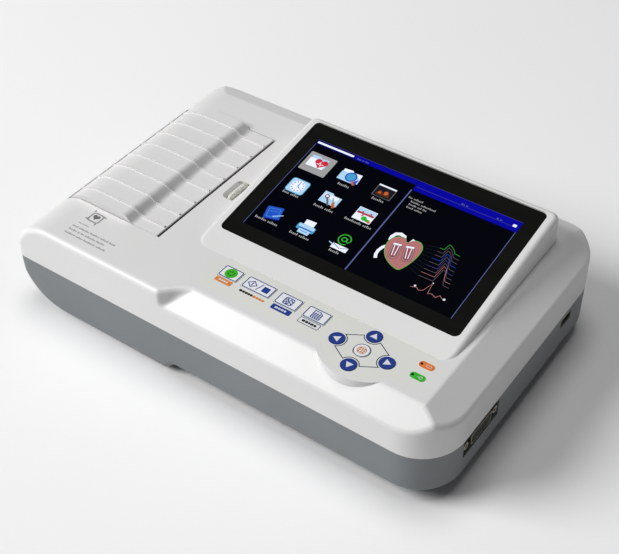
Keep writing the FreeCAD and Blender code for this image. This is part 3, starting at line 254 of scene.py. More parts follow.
def stroke(points, width, closed=False):
    """A line of constant width through the points."""
    count = len(points)
    left, right = [], []
    for index, (x, y) in enumerate(points):
        before = points[index - 1] if closed or index else points[index]
        after = points[(index + 1) % count] if closed or index < count - 1 else points[index]
        into = Vector((x - before[0], y - before[1]))
        out = Vector((after[0] - x, after[1] - y))
        into, out = (into.normalized() or out.normalized()), (out.normalized() or into.normalized())
        into = into if into.length else out
        out = out if out.length else into
        along = (into + out).normalized()
        side = Vector((-along.y, along.x)) * (width / 2 / max(0.4, along.dot(out)))
        left.append((x + side.x, y + side.y))
        right.append((x - side.x, y - side.y))
    spans = range(count if closed else count - 1)
    faces = [(count + a, count + (a + 1) % count, (a + 1) % count, a) for a in spans]
    return left + right, faces


def ring(x, y, radius, width):
    return stroke(arc(x, y, radius, 0, 360, 44)[:-1], width, closed=True)


def outline(x, y, wide, high, corner, width):
    """A rectangle's border."""
    return stroke(rounded(x, y, wide - width, high - width, corner)[0], width, closed=True)


def turned(shape, x, y, degrees):
    """The shape turned about (0, 0) and moved to (x, y)."""
    points, faces = shape
    c, s = math.cos(math.radians(degrees)), math.sin(math.radians(degrees))
    return [(x + c * u - s * v, y + s * u + c * v) for u, v in points], faces


def caption(x, y, widths, high, gap=0.5):
    """A row of short bars where a caption would stand, starting at x."""
    bars = []
    for wide in widths:
        bars.append(rounded(x + wide / 2, y, wide, high, high * 0.3, 2))
        x += wide + gap
    return bars


def greek(x, y, words, size):
    """A line of small blocks that stands for words, starting at x; words holds the letter counts."""
    blocks = []
    for word, letters in enumerate(words):
        for letter in range(letters):
            tall = (3 * letter + 2 * word) % 4 == 0
            high = size * (1.45 if tall else 1.0)
            blocks.append(rounded(x + size * 0.3, y + (high - size) / 2, size * 0.58, high, size * 0.2, 1))
            x += size * 0.85
        x += size * 0.7
    return blocks


def greek_width(words, size):
    return size * (0.85 * sum(words) + 0.7 * (len(words) - 1))


def smooth(points, steps=5):
    """Points of a closed soft curve that passes through the given ones."""
    curve = []
    count = len(points)
    for index in range(count):
        near = [points[(index + shift) % count] for shift in (-1, 0, 1, 2)]
        for step in range(steps):
            t = step / steps
            curve.append(tuple(
                b + t * (c - a) / 2 + t * t * (a - 2.5 * b + 2 * c - d / 2)
                + t ** 3 * (1.5 * (b - c) + (d - a) / 2)
                for a, b, c, d in zip(*near)))
    return curve


def heart(x, y, wide, high, steps=48):
    """Heart outline from the classic curve."""
    points = []
    for step in range(steps):
        t = 2 * math.pi * step / steps
        across = math.sin(t) ** 3
        up = (13 * math.cos(t) - 5 * math.cos(2 * t) - 2 * math.cos(3 * t) - math.cos(4 * t) + 2.5) / 29
        points.append((x + across * wide / 2, y + up * high))
    return polygon(*points)


# ---------------------------------------------------------------- printed layers


LAYER_GAP = 0.02
LAYER_STEP = 0.025


def linked(name, data):
    """An object for the mesh, light or camera, in the scene."""
    piece = bpy.data.objects.new(name, data)
    bpy.context.scene.collection.objects.link(piece)
    return piece


def printed(name, body, place, layers, first=0):
    """One piece of thin printed layers; layers pairs a material with the shapes in it, from level first up."""
    verts, faces, slots, materials = [], [], [], []
    for level, (look, shapes) in enumerate(layers, start=first):
        if look not in materials:
            materials.append(look)
        low = LAYER_GAP + LAYER_STEP * level
        for points, cells in shapes:
            base, count = len(verts), len(points)
            for height in (low, low + LAYER_STEP * 0.8):
                verts += [place(u, v, height) for u, v in points]
            inner = {(a, b) for cell in cells for a, b in zip(cell, cell[1:] + cell[:1])}
            made = [tuple(base + count + a for a in cell) for cell in cells]
            made += [tuple(base + a for a in reversed(cell)) for cell in cells]
            made += [(base + a, base + b, base + count + b, base + count + a)
                     for a, b in sorted(inner) if (b, a) not in inner]
            faces += made
            slots += [materials.index(look)] * len(made)
    mesh = bpy.data.meshes.new(name)
    mesh.from_pydata(verts, [], faces)
    for look in materials:
        mesh.materials.append(look)
    mesh.polygons.foreach_set("material_index", slots)
    mesh.update()
    piece = linked(name, mesh)
    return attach(piece, body)


def flat_at(top):
    """Placer for a level face at that height in metres."""
    def place(u, v, height):
        return (u * MM, v * MM, top + height * MM)
    return place


glass_low, glass_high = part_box("display_glass")
SCREEN_TILT = math.radians(9.15)
GLASS_THICK = 1.8 * MM
GLASS_FORWARD = 1.2 * MM
SCREEN_NORMAL = Vector((0, -math.sin(SCREEN_TILT), math.cos(SCREEN_TILT)))
SCREEN_UP = Vector((0, math.cos(SCREEN_TILT), math.sin(SCREEN_TILT)))
SCREEN_CENTRE = (glass_low + glass_high) / 2 + SCREEN_NORMAL * GLASS_THICK / 2 - SCREEN_UP * GLASS_FORWARD


def on_screen(u, v, height):
    """Placer for the screen: u to the right and v up the picture, from its middle."""
    return tuple(SCREEN_CENTRE + Vector((u * MM, 0, 0)) + SCREEN_UP * (v * MM) + SCREEN_NORMAL * (height * MM))


# ---------------------------------------------------------------- screen picture

PICTURE_WIDE, PICTURE_HIGH = 154.08, 85.92
GLOW = 0.5
LIT = {name: printed_ink("lit_" + name, colour, GLOW, 0.4, 0.02) for name, colour in {
    "back": (0.0012, 0.0013, 0.0040), "blue": (0.0025, 0.003, 0.27), "deep_blue": (0.002, 0.003, 0.085),
    "line": (0.10, 0.12, 0.27), "white": (0.62, 0.65, 0.72), "pale": (0.34, 0.50, 0.64),
    "silver": (0.28, 0.28, 0.28), "grey": (0.12, 0.12, 0.13), "red": (0.46, 0.03, 0.05),
    "cyan": (0.07, 0.28, 0.45), "royal": (0.02, 0.08, 0.42), "green": (0.04, 0.36, 0.04),
    "orange": (0.45, 0.11, 0.03), "brown": (0.10, 0.035, 0.015), "pink": (0.36, 0.155, 0.155),
    "violet": (0.06, 0.05, 0.22), "rose": (0.25, 0.08, 0.09), "dark": (0.012, 0.012, 0.02),
    "trace": (0.13, 0.10, 0.12), "leader": (0.012, 0.018, 0.03),
}.items()}


def screen_frame():
    half_wide, half_high = PICTURE_WIDE / 2, PICTURE_HIGH / 2
    split = 2.0
    bar_low, bar_high = 38.6, 42.7
    right_low = 33.6
    printed("screen_picture", "case", on_screen, [
        (LIT["back"], [rounded(0, 0, PICTURE_WIDE, PICTURE_HIGH, 0.1, 1)]),
        (LIT["deep_blue"], [polygon((-half_wide, bar_low), (split, bar_low - 0.6), (split, bar_high),
                                    (-half_wide, bar_high))]),
        (LIT["blue"], [polygon((-46, bar_low + 0.2), (split, bar_low + 0.2), (split, bar_high - 0.6),
                               (-46, bar_high - 0.4)),
                       polygon((split + 0.4, right_low), (half_wide, right_low), (half_wide, bar_high),
                               (split + 0.4, bar_high))]),
        (LIT["violet"], [stroke([(split + 1, 37.2), (half_wide - 1, 37.2)], 0.35),
                         stroke([(-half_wide, bar_high + 0.1), (half_wide, bar_high + 0.1)], 0.3)]),
        (LIT["line"], [stroke([(split, right_low), (split, -half_high)], 0.9),
                       stroke([(half_wide - 0.6, right_low), (half_wide - 0.6, -half_high)], 0.5),
                       stroke([(-half_wide + 0.6, bar_low), (-half_wide + 0.6, -half_high)], 0.4)]),
        (LIT["white"], [rounded(-61.5, 40.6, 29, 1.7, 0.3, 2), rounded(73.5, 38.2, 2.6, 2.2, 0.5, 3)]),
        (LIT["line"], greek(-44, 40.0, (4, 2, 3), 1.0) + greek(36, 38.2, (3, 2), 1.0)
         + greek(61, 38.2, (2, 2), 1.0)),
    ])


def folder(x, y, wide=13.5, high=9.5, lean=0):
    """A folder with a raised tab, drawn about its middle."""
    half, rise = wide / 2, high / 2
    body = polygon((-half, -rise), (half, -rise), (half, rise * 0.7), (half * 0.1, rise * 0.7),
                   (-half * 0.1, rise), (-half, rise))
    return turned(body, x, y, lean)


def icon_record(x, y):
    beat = [(-2.6, -0.6), (-1.2, -0.6), (-0.5, 1.6), (0.4, -1.8), (1.1, -0.2), (2.6, -0.2)]
    return [
        (LIT["silver"], [rounded(x, y, 20.5, 17.5, 0.8)]),
        (LIT["pale"], [folder(x - 0.6, y + 2.4, 13, 9, 6)]),
        (LIT["white"], [folder(x - 1.2, y + 0.2, 13, 7.5, 2)]),
        (LIT["red"], [heart(x + 1.6, y + 0.6, 9.5, 8.4)]),
        (LIT["white"], [stroke([(x + 1.6 + u, y + 0.8 + v) for u, v in beat], 0.55)]),
    ]


def icon_archive(x, y):
    return [
        (LIT["white"], [folder(x - 0.4, y + 1.4, 14, 10, 5)]),
        (LIT["pale"], [folder(x - 1.2, y - 0.4, 14, 7.6, 0)]),
        (LIT["cyan"], [disc(x + 0.2, y + 0.8, 3.6)]),
        (LIT["royal"], [ring(x + 0.2, y + 0.8, 3.7, 0.9), polygon((x + 2.2, y - 4), (x + 6.2, y + 1),
                                                               (x + 6.2, y - 4))]),
        (LIT["orange"], [stroke([(x + 2.8, y - 1.8), (x + 5.2, y - 5.2)], 1.3)]),
    ]


def icon_picture(x, y):
    hill = [(-5.2, -3.6), (-3.8, -0.4), (-2.2, 0.6), (-0.6, -1.2), (1.2, 2.2), (3.2, 1.0), (5.2, -3.6)]
    return [
        (LIT["grey"], [rounded(x, y, 13.6, 10.6, 0.3, 2)]),
        (LIT["dark"], [rounded(x, y - 0.6, 12.4, 8.6, 0.2, 2)]),
        (LIT["brown"], [polygon(*[(x + u, y + v) for u, v in hill])]),
        (LIT["orange"], [disc(x + 1.6, y - 0.6, 1.5, 20), disc(x - 2.6, y - 1.6, 1.0, 16)]),
        (LIT["white"], [rounded(x, y + 4.6, 13, 1.3, 0.1, 1)]),
    ]


def icon_clock(x, y):
    ticks = []
    for hour in range(12):
        across, up = math.cos(math.radians(30 * hour)), math.sin(math.radians(30 * hour))
        ticks.append(stroke([(x + radius * across, y + radius * up) for radius in (3.4, 4.5)], 0.5))
    return [
        (LIT["cyan"], [rounded(x, y, 14, 12.6, 2.2)]),
        (LIT["pale"], [rounded(x, y, 13.0, 11.6, 1.9)]),
        (LIT["white"], [disc(x, y, 4.9)]),
        (LIT["royal"], ticks + [stroke([(x, y), (x, y + 3.0)], 0.5), stroke([(x, y), (x + 2.1, y - 1.2)], 0.5)]),
    ]


def icon_tools(x, y):
    return [
        (LIT["pale"], [folder(x - 0.6, y + 1.2, 13.6, 9.6, 0)]),
        (LIT["white"], [rounded(x - 1, y + 2.6, 10.6, 3.2, 0.3, 2)]),
        (LIT["grey"], [stroke([(x - 3.4, y + 1.6), (x + 0.8, y - 4.6)], 1.3), ring(x - 3.8, y + 2.2, 1.4, 0.8)]),
        (LIT["silver"], [stroke([(x + 0.6, y + 2.6), (x + 2.6, y - 0.8)], 0.9)]),
        (LIT["orange"], [stroke([(x + 2.6, y - 0.8), (x + 5.0, y - 5.0)], 1.8)]),
    ]


def icon_chart(x, y):
    trace = [(-5.6, 0.2), (-3.4, 0.4), (-2.4, 2.6), (-1.4, -1.4), (-0.4, 0.8), (2.0, 0.9), (3.0, 2.8), (5.6, 1.0)]
    return [
        (LIT["white"], [rounded(x, y, 13.4, 10.8, 0.3, 2)]),
        (LIT["pale"], [rounded(x, y + 3.4, 12.6, 3.2, 0.2, 2)]),
        (LIT["rose"], [rounded(x, y + 1.0, 12.2, 1.5, 0.2, 2)]),
        (LIT["red"], [stroke([(x + u, y + v) for u, v in trace], 0.6)]),
        (LIT["green"], [disc(x + 1.0, y - 2.6, 1.9, 20), rounded(x + 3.8, y - 3.4, 3.2, 2.2, 0.8, 3)]),
        (LIT["orange"], [disc(x + 5.2, y - 4.0, 1.0, 14)]),
    ]


def icon_notebook(x, y):
    return [
        (LIT["deep_blue"], [turned(rounded(0, 0, 11.6, 10.8, 0.8), x + 0.4, y - 0.5, 14)]),
        (LIT["royal"], [turned(rounded(0, 0, 11.2, 10.4, 0.8), x, y, 14)]),
        (LIT["cyan"], [turned(outline(0, 0, 8.2, 7.4, 0.5, 0.35), x, y, 14),
                       turned(stroke([(-3, 1.2), (3, 1.2)], 0.35), x, y, 14)]),
        (LIT["pale"], [stroke([(x + 1.2, y - 2.8), (x + 7.2, y + 1.0)], 0.7)]),
    ]


def icon_printer(x, y):
    return [
        (LIT["white"], [turned(rounded(0, 0, 7.4, 6, 0.2, 2), x + 0.2, y + 3.4, 4)]),
        (LIT["cyan"], [rounded(x, y - 0.6, 13, 5.2, 1.2)]),
        (LIT["pale"], [rounded(x, y + 0.5, 11.8, 2.6, 1.0), rounded(x + 0.4, y - 3.6, 8.2, 4.0, 0.3, 2)]),
        (LIT["royal"], [stroke([(x - 4.4, y - 1.6), (x + 4.8, y - 1.6)], 0.7),
                        stroke([(x - 2.4, y - 3.6), (x + 3.2, y - 3.6)], 0.35)]),
    ]


def icon_message(x, y):
    return [
        (LIT["green"], [ring(x + 0.2, y + 3.6, 1.6, 0.8), stroke(arc(x + 0.4, y + 3.6, 4.1, 0, 310), 0.8),
                        stroke([(x + u, y + v) for u, v in ((2.0, 5.0), (2.2, 2.6), (3.4, 2.0), (4.5, 3.6))],
                               0.7)]),
        (LIT["white"], [polygon((x - 4.6, y - 5.6), (x + 6.8, y - 5.6), (x + 6.8, y - 1.6), (x - 4.6, y - 1.6))]),
        (LIT["line"], [stroke([(x - 4.4, y - 1.8), (x + 1.1, y - 4.2), (x + 6.6, y - 1.8)], 0.4)]),
        (LIT["pale"], [stroke([(x - 7.4, y - 2.2), (x - 3.0, y - 3.4)], 0.8)]),
    ]


COLUMNS = (-64.2, -38.4, -12.0)
ROWS = (23.2, 0.2, -26.6)
CAPTION_SIZE = 1.5
MENU = (
    (icon_record, (), icon_archive, (7,), icon_picture, (7,)),
    (icon_clock, (4, 5), icon_tools, (6, 5), icon_chart, (10, 5)),
    (icon_notebook, (7, 6), icon_printer, (5, 6), icon_message, (6,)),
)


def menu():
    for y, row in zip(ROWS, MENU):
        for x, draw, words in zip(COLUMNS, row[::2], row[1::2]):
            layers = draw(x, y)
            if words:
                start = x - greek_width(words, CAPTION_SIZE) / 2
                layers.append((LIT["silver"], greek(start, y - 8.0, words, CAPTION_SIZE)))
            printed("screen_" + draw.__name__, "case", on_screen, layers, first=1)


HEART_LEAN = 17
HEART_EDGE = ((23.3, -5.6), (27.0, -2.0), (31.2, -2.0), (34.4, -5.4), (35.2, -11.0), (34.4, -17.5), (32.6, -23.4),
              (30.2, -27.2), (26.2, -27.0), (20.6, -24.6), (16.2, -21.0), (13.4, -16.4), (12.3, -11.2),
              (13.6, -6.6), (17.0, -3.6), (21.0, -3.4))


def heart_picture():
    """A cut heart that leans to the right, with its great vessels behind it."""
    edge = smooth(HEART_EDGE)
    middle = Vector((24.0, -14.0))
    inner = [tuple(middle + (Vector(point) - middle) * 0.965) for point in edge]
    chambers, walls, folds = [], [], []
    for x, y, lean in ((20.2, -15.2, HEART_LEAN - 4), (28.6, -13.4, HEART_LEAN)):
        chambers.append(turned(rounded(0, 0, 6.8, 13.4, 3.1), x, y, lean))
        walls.append(turned(outline(0, 0, 5.8, 12.4, 2.7, 0.45), x, y, lean))
        folds.append(turned(rounded(0, 5.2, 5.4, 1.5, 0.7), x, y, lean))
        folds += [turned(stroke([(side, 4.2), (side * 0.6, -4.0)], 0.6), x, y, lean) for side in (-1.3, 1.3)]
    vessel = [(12.9, -26.0), (11.5, -23.2), (11.2, -20.0), (12.0, -16.6), (14.5, -13.0)]
    arch = [(13.0, -9.5), (12.4, -6.2), (13.6, -3.2), (16.4, -1.8), (19.4, -2.6), (20.8, -6.0)]
    printed("screen_heart", "case", on_screen, [
        (LIT["white"], [stroke(vessel, 2.2), stroke(arch, 2.4), stroke([(24.8, -6.0), (26.0, -1.8)], 1.8)]),
        (LIT["green"], [polygon(*edge)]),
        (LIT["pink"], [polygon(*inner)]),
        (LIT["rose"], chambers),
        (LIT["silver"], walls),
        (LIT["white"], folds),
    ], first=1)


TRACE_TINTS = ("green", "trace", "trace", "royal", "trace", "violet", "trace", "pink", "trace")


def lead_traces():
    """Nine traces fan out from the heart, each lower and later than the one before."""
    paths = {}
    leaders = []
    for index, tint in enumerate(TRACE_TINTS):
        start, level = 43.0, 0.2 - 3.1 * index
        rise = 46.0 + 0.85 * index
        crest = level + 5.3 + 0.7 * index
        paths.setdefault(tint, []).append(stroke([
            (start, level), (rise, level + 0.3), (rise + 1.0, crest), (rise + 3.2, crest - 1.0),
            (rise + 5.8, level + 2.4), (rise + 7.2, level + 0.4), (rise + 11.0, level + 0.2)], 0.3))
        leaders.append(stroke([(35.5, -1.5 - 2.6 * index), (start - 0.6, level)], 0.3))
    beat = [(43.5, -34.4), (47.0, -33.2), (49.0, -34.6), (51.5, -33.2), (53.9, -25.8), (55.0, -34.0),
            (57.4, -33.1), (60.4, -34.4), (62.4, -31.8), (64.0, -33.0), (66.4, -33.4)]
    rows = [greek(4.0 if row == 0 else 7.0, 27.0 - 2.6 * row, words, 1.15)
            for row, words in enumerate(((3, 7), (7, 11), (6, 3, 3), (5, 6)))]
    layers = [(LIT["leader"], leaders)] + [(LIT[tint], shapes) for tint, shapes in paths.items()]
    layers += [
        (LIT["pink"], [stroke(beat, 0.4)]),
        (LIT["white"], [disc(45.5, -32.6, 0.7, 14), disc(54.0, -25.6, 0.45, 12), disc(65.9, -33.2, 0.8, 14)]),
        (LIT["silver"], [block for row in rows for block in row]),
    ]
    printed("screen_traces", "case", on_screen, layers, first=1)


screen_frame()
menu()
heart_picture()
lead_traces()

# ---------------------------------------------------------------- key symbols and panel print

INK = {name: printed_ink("ink_" + name, colour) for name, colour in {
    "blue": (0.022, 0.07, 0.34), "navy": (0.03, 0.045, 0.12), "green": (0.07, 0.52, 0.03),
    "orange": (0.78, 0.30, 0.09), "black": (0.012, 0.012, 0.012), "white": (0.80, 0.81, 0.83),
    "grey": (0.20, 0.20, 0.21), "pale": (0.42, 0.42, 0.42), "leaf": (0.02, 0.20, 0.015),
    "border": (0.045, 0.10, 0.27),
}.items()}


def centre_of(node):
    """Middle of a node's top, in millimetres, and the top's height in metres."""
    low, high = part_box(node)
    return (low.x + high.x) / 2 / MM, (low.y + high.y) / 2 / MM, high.z


def key_border(node, wide, high):
    x, y, _ = centre_of(node)
    return (INK["border"], [outline(x, y, wide - 0.4, high - 0.4, 0.9, 0.6)])


def power_symbol():
    x, y, top = centre_of("power_key")
    printed("symbol_power", "power_key", flat_at(top), [
        key_border("power_key", 14, 10),
        (INK["green"], [disc(x, y, 4.1)]),
        (INK["leaf"], [stroke(arc(x, y, 1.9, 125, 415), 0.5), stroke([(x, y + 0.5), (x, y + 2.5)], 0.5)]),
    ])


def start_stop_symbol():
    x, y, top = centre_of("start_stop_key")
    diamond = [(x - 8.0, y), (x - 4.9, y + 2.7), (x - 1.8, y), (x - 4.9, y - 2.7)]
    printed("symbol_start_stop", "start_stop_key", flat_at(top), [
        key_border("start_stop_key", 20.6, 10.2),
        (INK["blue"], [stroke(diamond, 0.55, closed=True), stroke([(x - 4.9, y - 1.5), (x - 4.9, y + 1.5)], 0.6),
                       rounded(x + 5.2, y, 4.6, 4.6, 0.2, 2),
                       stroke([(x - 0.6, y - 3.2), (x + 1.4, y + 3.2)], 0.5)]),
    ])


def mode_symbol():
    x, y, top = centre_of("mode_key")
    wave = [(-2.6, -0.4), (-1.5, 1.2), (-0.3, -1.2), (0.9, 1.2), (2.6, -0.6)]
    low_wave = [(u, v - 1.5) for u, v in wave[:4]] + [(2.6, -1.8)]
    printed("symbol_mode", "mode_key", flat_at(top), [
        key_border("mode_key", 15.8, 10),
        (INK["blue"], [outline(x, y, 6.6, 6.2, 1.2, 0.6), stroke([(x + u, y + v + 0.8) for u, v in wave], 0.6),
                       stroke([(x + u, y + v) for u, v in low_wave], 0.6)]),
    ])


def print_symbol():
    x, y, top = centre_of("print_key")
    page = [(x - 2.9, y - 3.1), (x + 2.9, y - 3.1), (x + 2.9, y + 1.4), (x + 0.9, y + 3.1), (x - 2.9, y + 3.1)]
    rows = [stroke([(x - 2.7, y + v), (x + 2.7, y + v)], 0.42) for v in (-1.8, -0.5, 0.8)]
    bars = [stroke([(x + u, y - 2.9), (x + u, y + 2.0)], 0.42) for u in (-1.4, 0.0, 1.4)]
    printed("symbol_print", "print_key", flat_at(top), [
        key_border("print_key", 15.8, 10),
        (INK["blue"], [stroke(page, 0.55, closed=True)] + rows + bars),
    ])


def nav_symbols():
    for node, heading in (("left_key", 180), ("right_key", 0), ("up_key", 90), ("down_key", 270)):
        x, y, top = centre_of(node)
        pointer = polygon((2.7, 0), (-1.5, 2.5), (-1.5, -2.5))
        printed("symbol_" + node, node, flat_at(top), [(INK["white"], [turned(pointer, x, y, heading)])])
    x, y, top = centre_of("enter_key")
    grid = [stroke([(x - 2.2, y + v), (x + 2.2, y + v)], 0.4) for v in (-1.5, 0, 1.5)]
    grid += [stroke([(x + u, y - 2.2), (x + u, y + 2.2)], 0.4) for u in (-1.5, 0, 1.5)]
    printed("symbol_enter", "enter_key", flat_at(top), [
        (INK["navy"], [ring(x, y, 4.85, 0.4)]),
        (INK["orange"], [ring(x, y, 2.7, 0.4)] + grid),
    ])


def nav_links():
    """A fine line links the four arrow keys and bends round each of them."""
    middle = Vector(centre_of("enter_key")[:2])
    path = []
    for node in ("right_key", "up_key", "left_key", "down_key"):
        x, y, _ = centre_of(node)
        inward = math.degrees(math.atan2(middle.y - y, middle.x - x))
        path += arc(x, y, 6.0, inward + 68, inward - 68, 16)
    return stroke(path, 0.5, closed=True)


def overlay_print():
    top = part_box("keypad_overlay")[1].z
    power_x, start_x, mode_x, print_x = (centre_of(key)[0] for key in (
        "power_key", "start_stop_key", "mode_key", "print_key"))
    tab_y = -71.1
    printed("overlay_print", "case", flat_at(top), [
        (INK["navy"], [nav_links(), rounded(print_x - 0.2, tab_y - 0.1, 14.6, 4.8, 0.9)]),
        (INK["white"], [rounded(print_x - 0.2, tab_y - 0.1, 13.9, 4.1, 0.7)]),
        (INK["orange"], [rounded(power_x, tab_y, 12.0, 4.0, 0.6)]
         + caption(start_x + 1.2, tab_y - 0.6, (2.2, 1.7, 2.0, 1.6), 1.7, 0.35)),
        (INK["blue"], [rounded(mode_x + 0.1, tab_y - 0.3, 13.8, 4.2, 0.6)]),
        (INK["white"], caption(mode_x - 4.4, tab_y - 0.3, (2.2, 1.7, 1.8, 1.5), 1.5, 0.35)
         + caption(power_x - 3.6, tab_y, (1.8, 1.4, 1.5, 1.3), 1.3, 0.3)),
        (INK["black"], caption(start_x - 8.6, tab_y - 0.6, (1.9, 1.6, 1.8, 1.4, 1.5), 1.7, 0.35)
         + caption(print_x - 5.2, tab_y - 0.1, (2.0, 1.8, 1.3, 1.9, 1.6), 1.7, 0.35)),
    ])


def lamp_symbols():
    dark_x, sign_x = 3.3, 1.4
    for node in ("battery_lamp", "mains_lamp"):
        x, y, top = centre_of(node)
        sign = [outline(x + sign_x, y, 3.4, 1.9, 0.3, 0.3)] if node == "battery_lamp" else [
            stroke([(x + sign_x - 1.6, y), (x + sign_x - 0.4, y)], 0.35), ring(x + sign_x + 0.6, y, 0.9, 0.35)]
        printed("symbol_" + node, "case", flat_at(top), [
            (INK["black"], [disc(x - dark_x, y, 0.85, 20)]),
            (INK["white"], sign),
        ])


LABEL_ROWS = ((-84.6, (5, 9, 8, 7, 5)), (-88.2, (7, 2, 3, 9, 7)), (-92.0, (9, 6, 10, 8)))


def deck_label():
    """A printed mark, and blocks where a maker's caption would stand, on the deck in front of the door."""
    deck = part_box("keypad_overlay")[1].z
    x, y = -114.3, -71.2
    arrows = [turned(polygon((1.1, 0.3), (-1.1, 0.9), (-1.1, -0.3)), x + across, y + down, heading)
              for across, down, heading in ((-5.6, -3.0, 180), (5.6, 3.2, 0), (-4.6, 5.6, 90), (3.6, -5.6, 270))]
    lines = greek(-120.5, -80.4, (4, 3, 5), 0.75)
    for row, words in LABEL_ROWS:
        lines += greek(-122.0, row, words, 1.15)
    printed("deck_label", "case", flat_at(deck), [
        (INK["grey"], [outline(x, y, 9.4, 8.8, 1.8, 0.5), outline(x, y, 8.0, 7.4, 1.4, 0.25),
                       heart(x - 0.2, y + 0.2, 5.4, 5.0)] + arrows),
        (INK["pale"], lines),
    ])


power_symbol()
start_stop_symbol()
mode_symbol()
print_symbol()
nav_symbols()
overlay_print()
lamp_symbols()
deck_label()

# ---------------------------------------------------------------- tear strip

TEETH = 80
TOOTH_DEEP, STRIP_THICK, STRIP_HIGH = 0.7 * MM, 0.5 * MM, 2.8 * MM
STRIP_SUNK, STRIP_END_GAP = 0.7 * MM, 1.2 * MM


def tear_strip():
    """A toothed black strip along the door's free edge, where the paper is torn off."""
    low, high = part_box("printer_door")
    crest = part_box("keypad_overlay")[1].z - STRIP_SUNK
    foot = crest - STRIP_HIGH
    near, far = low.y + STRIP_END_GAP, high.y - STRIP_END_GAP
    steps = 2 * TEETH
    verts, faces = [], []
    for x in (high.x, high.x + STRIP_THICK):
        for step in range(steps + 1):
            y = near + (far - near) * step / steps
            verts += [(x, y, foot), (x, y, crest - TOOTH_DEEP * (step % 2))]
    side = 2 * (steps + 1)
    for a in range(0, 2 * steps, 2):
        b = a + 2
        faces += [(a, a + 1, b + 1, b), (side + a, side + b, side + b + 1, side + a + 1),
                  (a, b, side + b, side + a), (a + 1, side + a + 1, side + b + 1, b + 1)]
    last = 2 * steps
    faces += [(0, side, side + 1, 1), (last, last + 1, side + last + 1, side + last)]
    mesh = bpy.data.meshes.new("tear_strip")
    mesh.from_pydata(verts, [], faces)
    mesh.materials.append(SLOT_LOOKS["tray_black"])
    strip = linked("tear_strip", mesh)
    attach(strip, "printer_door")


tear_strip()

# ---------------------------------------------------------------- latch grip

GRIP_X, GRIP_Y = -56.15 * MM, 2.7 * MM
GRIP_HALF_WIDE, GRIP_HALF_LONG, GRIP_HIGH, GRIP_SUNK = 2.1 * MM, 9.8 * MM, 3.1 * MM, 1.6 * MM
# Depth below the deck of the black sheet that is painted shade in the latch pocket.
PAINTED_SHADE_DEPTH = 3.2 * MM


def latch_grip():
    """A ribbed finger grip that caps the latch's bar, with a black sheet on the plate beside it as painted shade
    in the pocket.
    """
    rings, around, ribs = 72, 24, 9
    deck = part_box("keypad_overlay")[1].z
    verts, faces = [], []
    for step in range(rings + 1):
        along = 2 * step / rings - 1
        swell = max(0.3, (1 - abs(along) ** 7) ** 0.5)
        ridge = 1 + 0.05 * math.cos(math.pi * ribs * along)
        for part in range(around):
            turn = 2 * math.pi * part / around
            verts.append((GRIP_X + GRIP_HALF_WIDE * math.cos(turn) * swell, GRIP_Y + GRIP_HALF_LONG * along,
                          deck - GRIP_SUNK + GRIP_HIGH * max(0, math.sin(turn)) * swell * ridge))
    for step in range(rings):
        row, above = step * around, (step + 1) * around
        faces += [(row + part, above + part, above + (part + 1) % around, row + (part + 1) % around)
                  for part in range(around)]
    faces += [tuple(range(around)), tuple(reversed(range(rings * around, (rings + 1) * around)))]
    mesh = bpy.data.meshes.new("latch_grip")
    mesh.from_pydata(verts, [], faces)
    mesh.materials.append(SLOT_LOOKS["latch_cream"])
    mesh.polygons.foreach_set("use_smooth", [True] * len(faces))
    grip = linked("latch_grip", mesh)
    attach(grip, "latch")
    # Painted shade: a thin black sheet on the latch's plate, left of the bar, darkens the pocket where shade
    # falls.
    printed("latch_painted_shade", "latch", flat_at(deck - PAINTED_SHADE_DEPTH), [
        (SLOT_LOOKS["black_rubber"], [rounded(-60.0, 2.7, 3.6, 19.0, 0.5)])])


latch_grip()

# ---------------------------------------------------------------- floor, light and camera

FLOOR_HALF = 9.0
AMBIENT = 0.085
KEY_PLACE, KEY_SIZE, KEY_WATTS = (-2.8, -2.3, 2.8), 2.5, 172.0
TOP_PLACE, TOP_SIZE, TOP_WATTS = (-0.2, 0.4, 3.7), 2.0, 42.0


def floor():
    """Pale paper under the machine."""
    corners = [(-FLOOR_HALF, -FLOOR_HALF, 0), (FLOOR_HALF, -FLOOR_HALF, 0),
               (FLOOR_HALF, FLOOR_HALF, 0), (-FLOOR_HALF, FLOOR_HALF, 0)]
    mesh = bpy.data.meshes.new("floor")
    mesh.from_pydata(corners, [], [(0, 1, 2, 3)])
    graph = Graph("floor_paper", Roughness=0.9, Specular_IOR_Level=0.2)
    graph.set("Base Color", graph.ramp(graph.noise(3.0), [
        (0.3, (0.95, 0.95, 0.95)), (0.7, (0.97, 0.97, 0.97))]))
    mesh.materials.append(graph.material)
    plane = linked("floor", mesh)


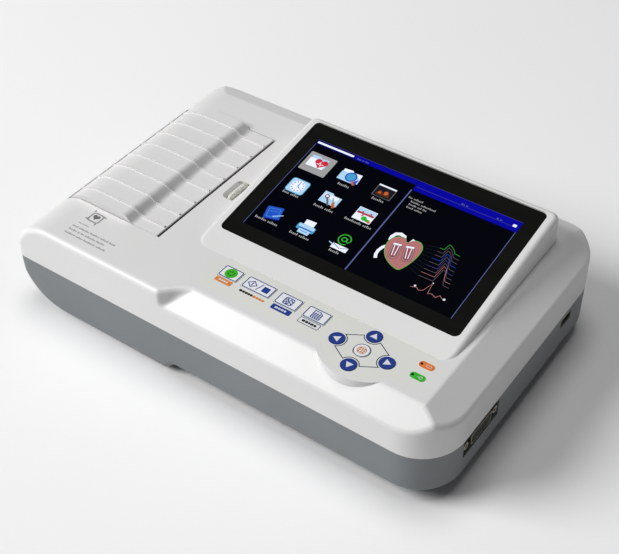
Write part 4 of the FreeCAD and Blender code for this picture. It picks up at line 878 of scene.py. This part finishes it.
def soft_light(name, place, target, size, watts):
    """Round area light that faces the target."""
    data = bpy.data.lights.new(name, "AREA")
    data.shape = "DISK"
    data.size = size
    data.energy = watts
    lamp = linked(name, data)
    lamp.location = place
    lamp.rotation_euler = (Vector(target) - Vector(place)).to_track_quat("-Z", "Y").to_euler()


def studio():
    """Dim even surroundings, a large key from the front left and a softer light from above."""
    scene = bpy.context.scene
    world = bpy.data.worlds.new("studio")
    world.use_nodes = True
    background = world.node_tree.nodes["Background"]
    background.inputs["Color"].default_value = (0.97, 0.98, 1.0, 1.0)
    background.inputs["Strength"].default_value = AMBIENT
    scene.world = world
    scene.view_settings.view_transform = "Standard"
    scene.view_settings.exposure = 0.07
    scene.view_settings.gamma = 0.86
    soft_light("key", KEY_PLACE, (0, 0, 0.05), KEY_SIZE, KEY_WATTS)
    soft_light("top", TOP_PLACE, (0, 0, 0), TOP_SIZE, TOP_WATTS)


CAMERA_TARGET = Vector((0.045, -0.05615, 0.09165))
CAMERA_DISTANCE = 0.6877
CAMERA_AZIMUTH, CAMERA_ELEVATION, CAMERA_ROLL = (math.radians(angle) for angle in (36.39, 42.73, -1.27))
CAMERA_LENS = 68.54


def camera():
    """Looks down at the machine from its front right."""
    back = Vector((math.sin(CAMERA_AZIMUTH) * math.cos(CAMERA_ELEVATION),
                   -math.cos(CAMERA_AZIMUTH) * math.cos(CAMERA_ELEVATION), math.sin(CAMERA_ELEVATION)))
    right = Vector((math.cos(CAMERA_AZIMUTH), math.sin(CAMERA_AZIMUTH), 0))
    turn = Matrix((right, back.cross(right), back)).transposed() @ Matrix.Rotation(CAMERA_ROLL, 3, "Z")
    data = bpy.data.cameras.new("camera")
    data.lens = CAMERA_LENS
    data.sensor_width = 36.0
    data.clip_start = 0.01
    data.clip_end = 20.0
    viewer = linked("camera", data)
    viewer.matrix_world = Matrix.Translation(CAMERA_TARGET + back * CAMERA_DISTANCE) @ turn.to_4x4()
    bpy.context.scene.camera = viewer


floor()
studio()
camera()
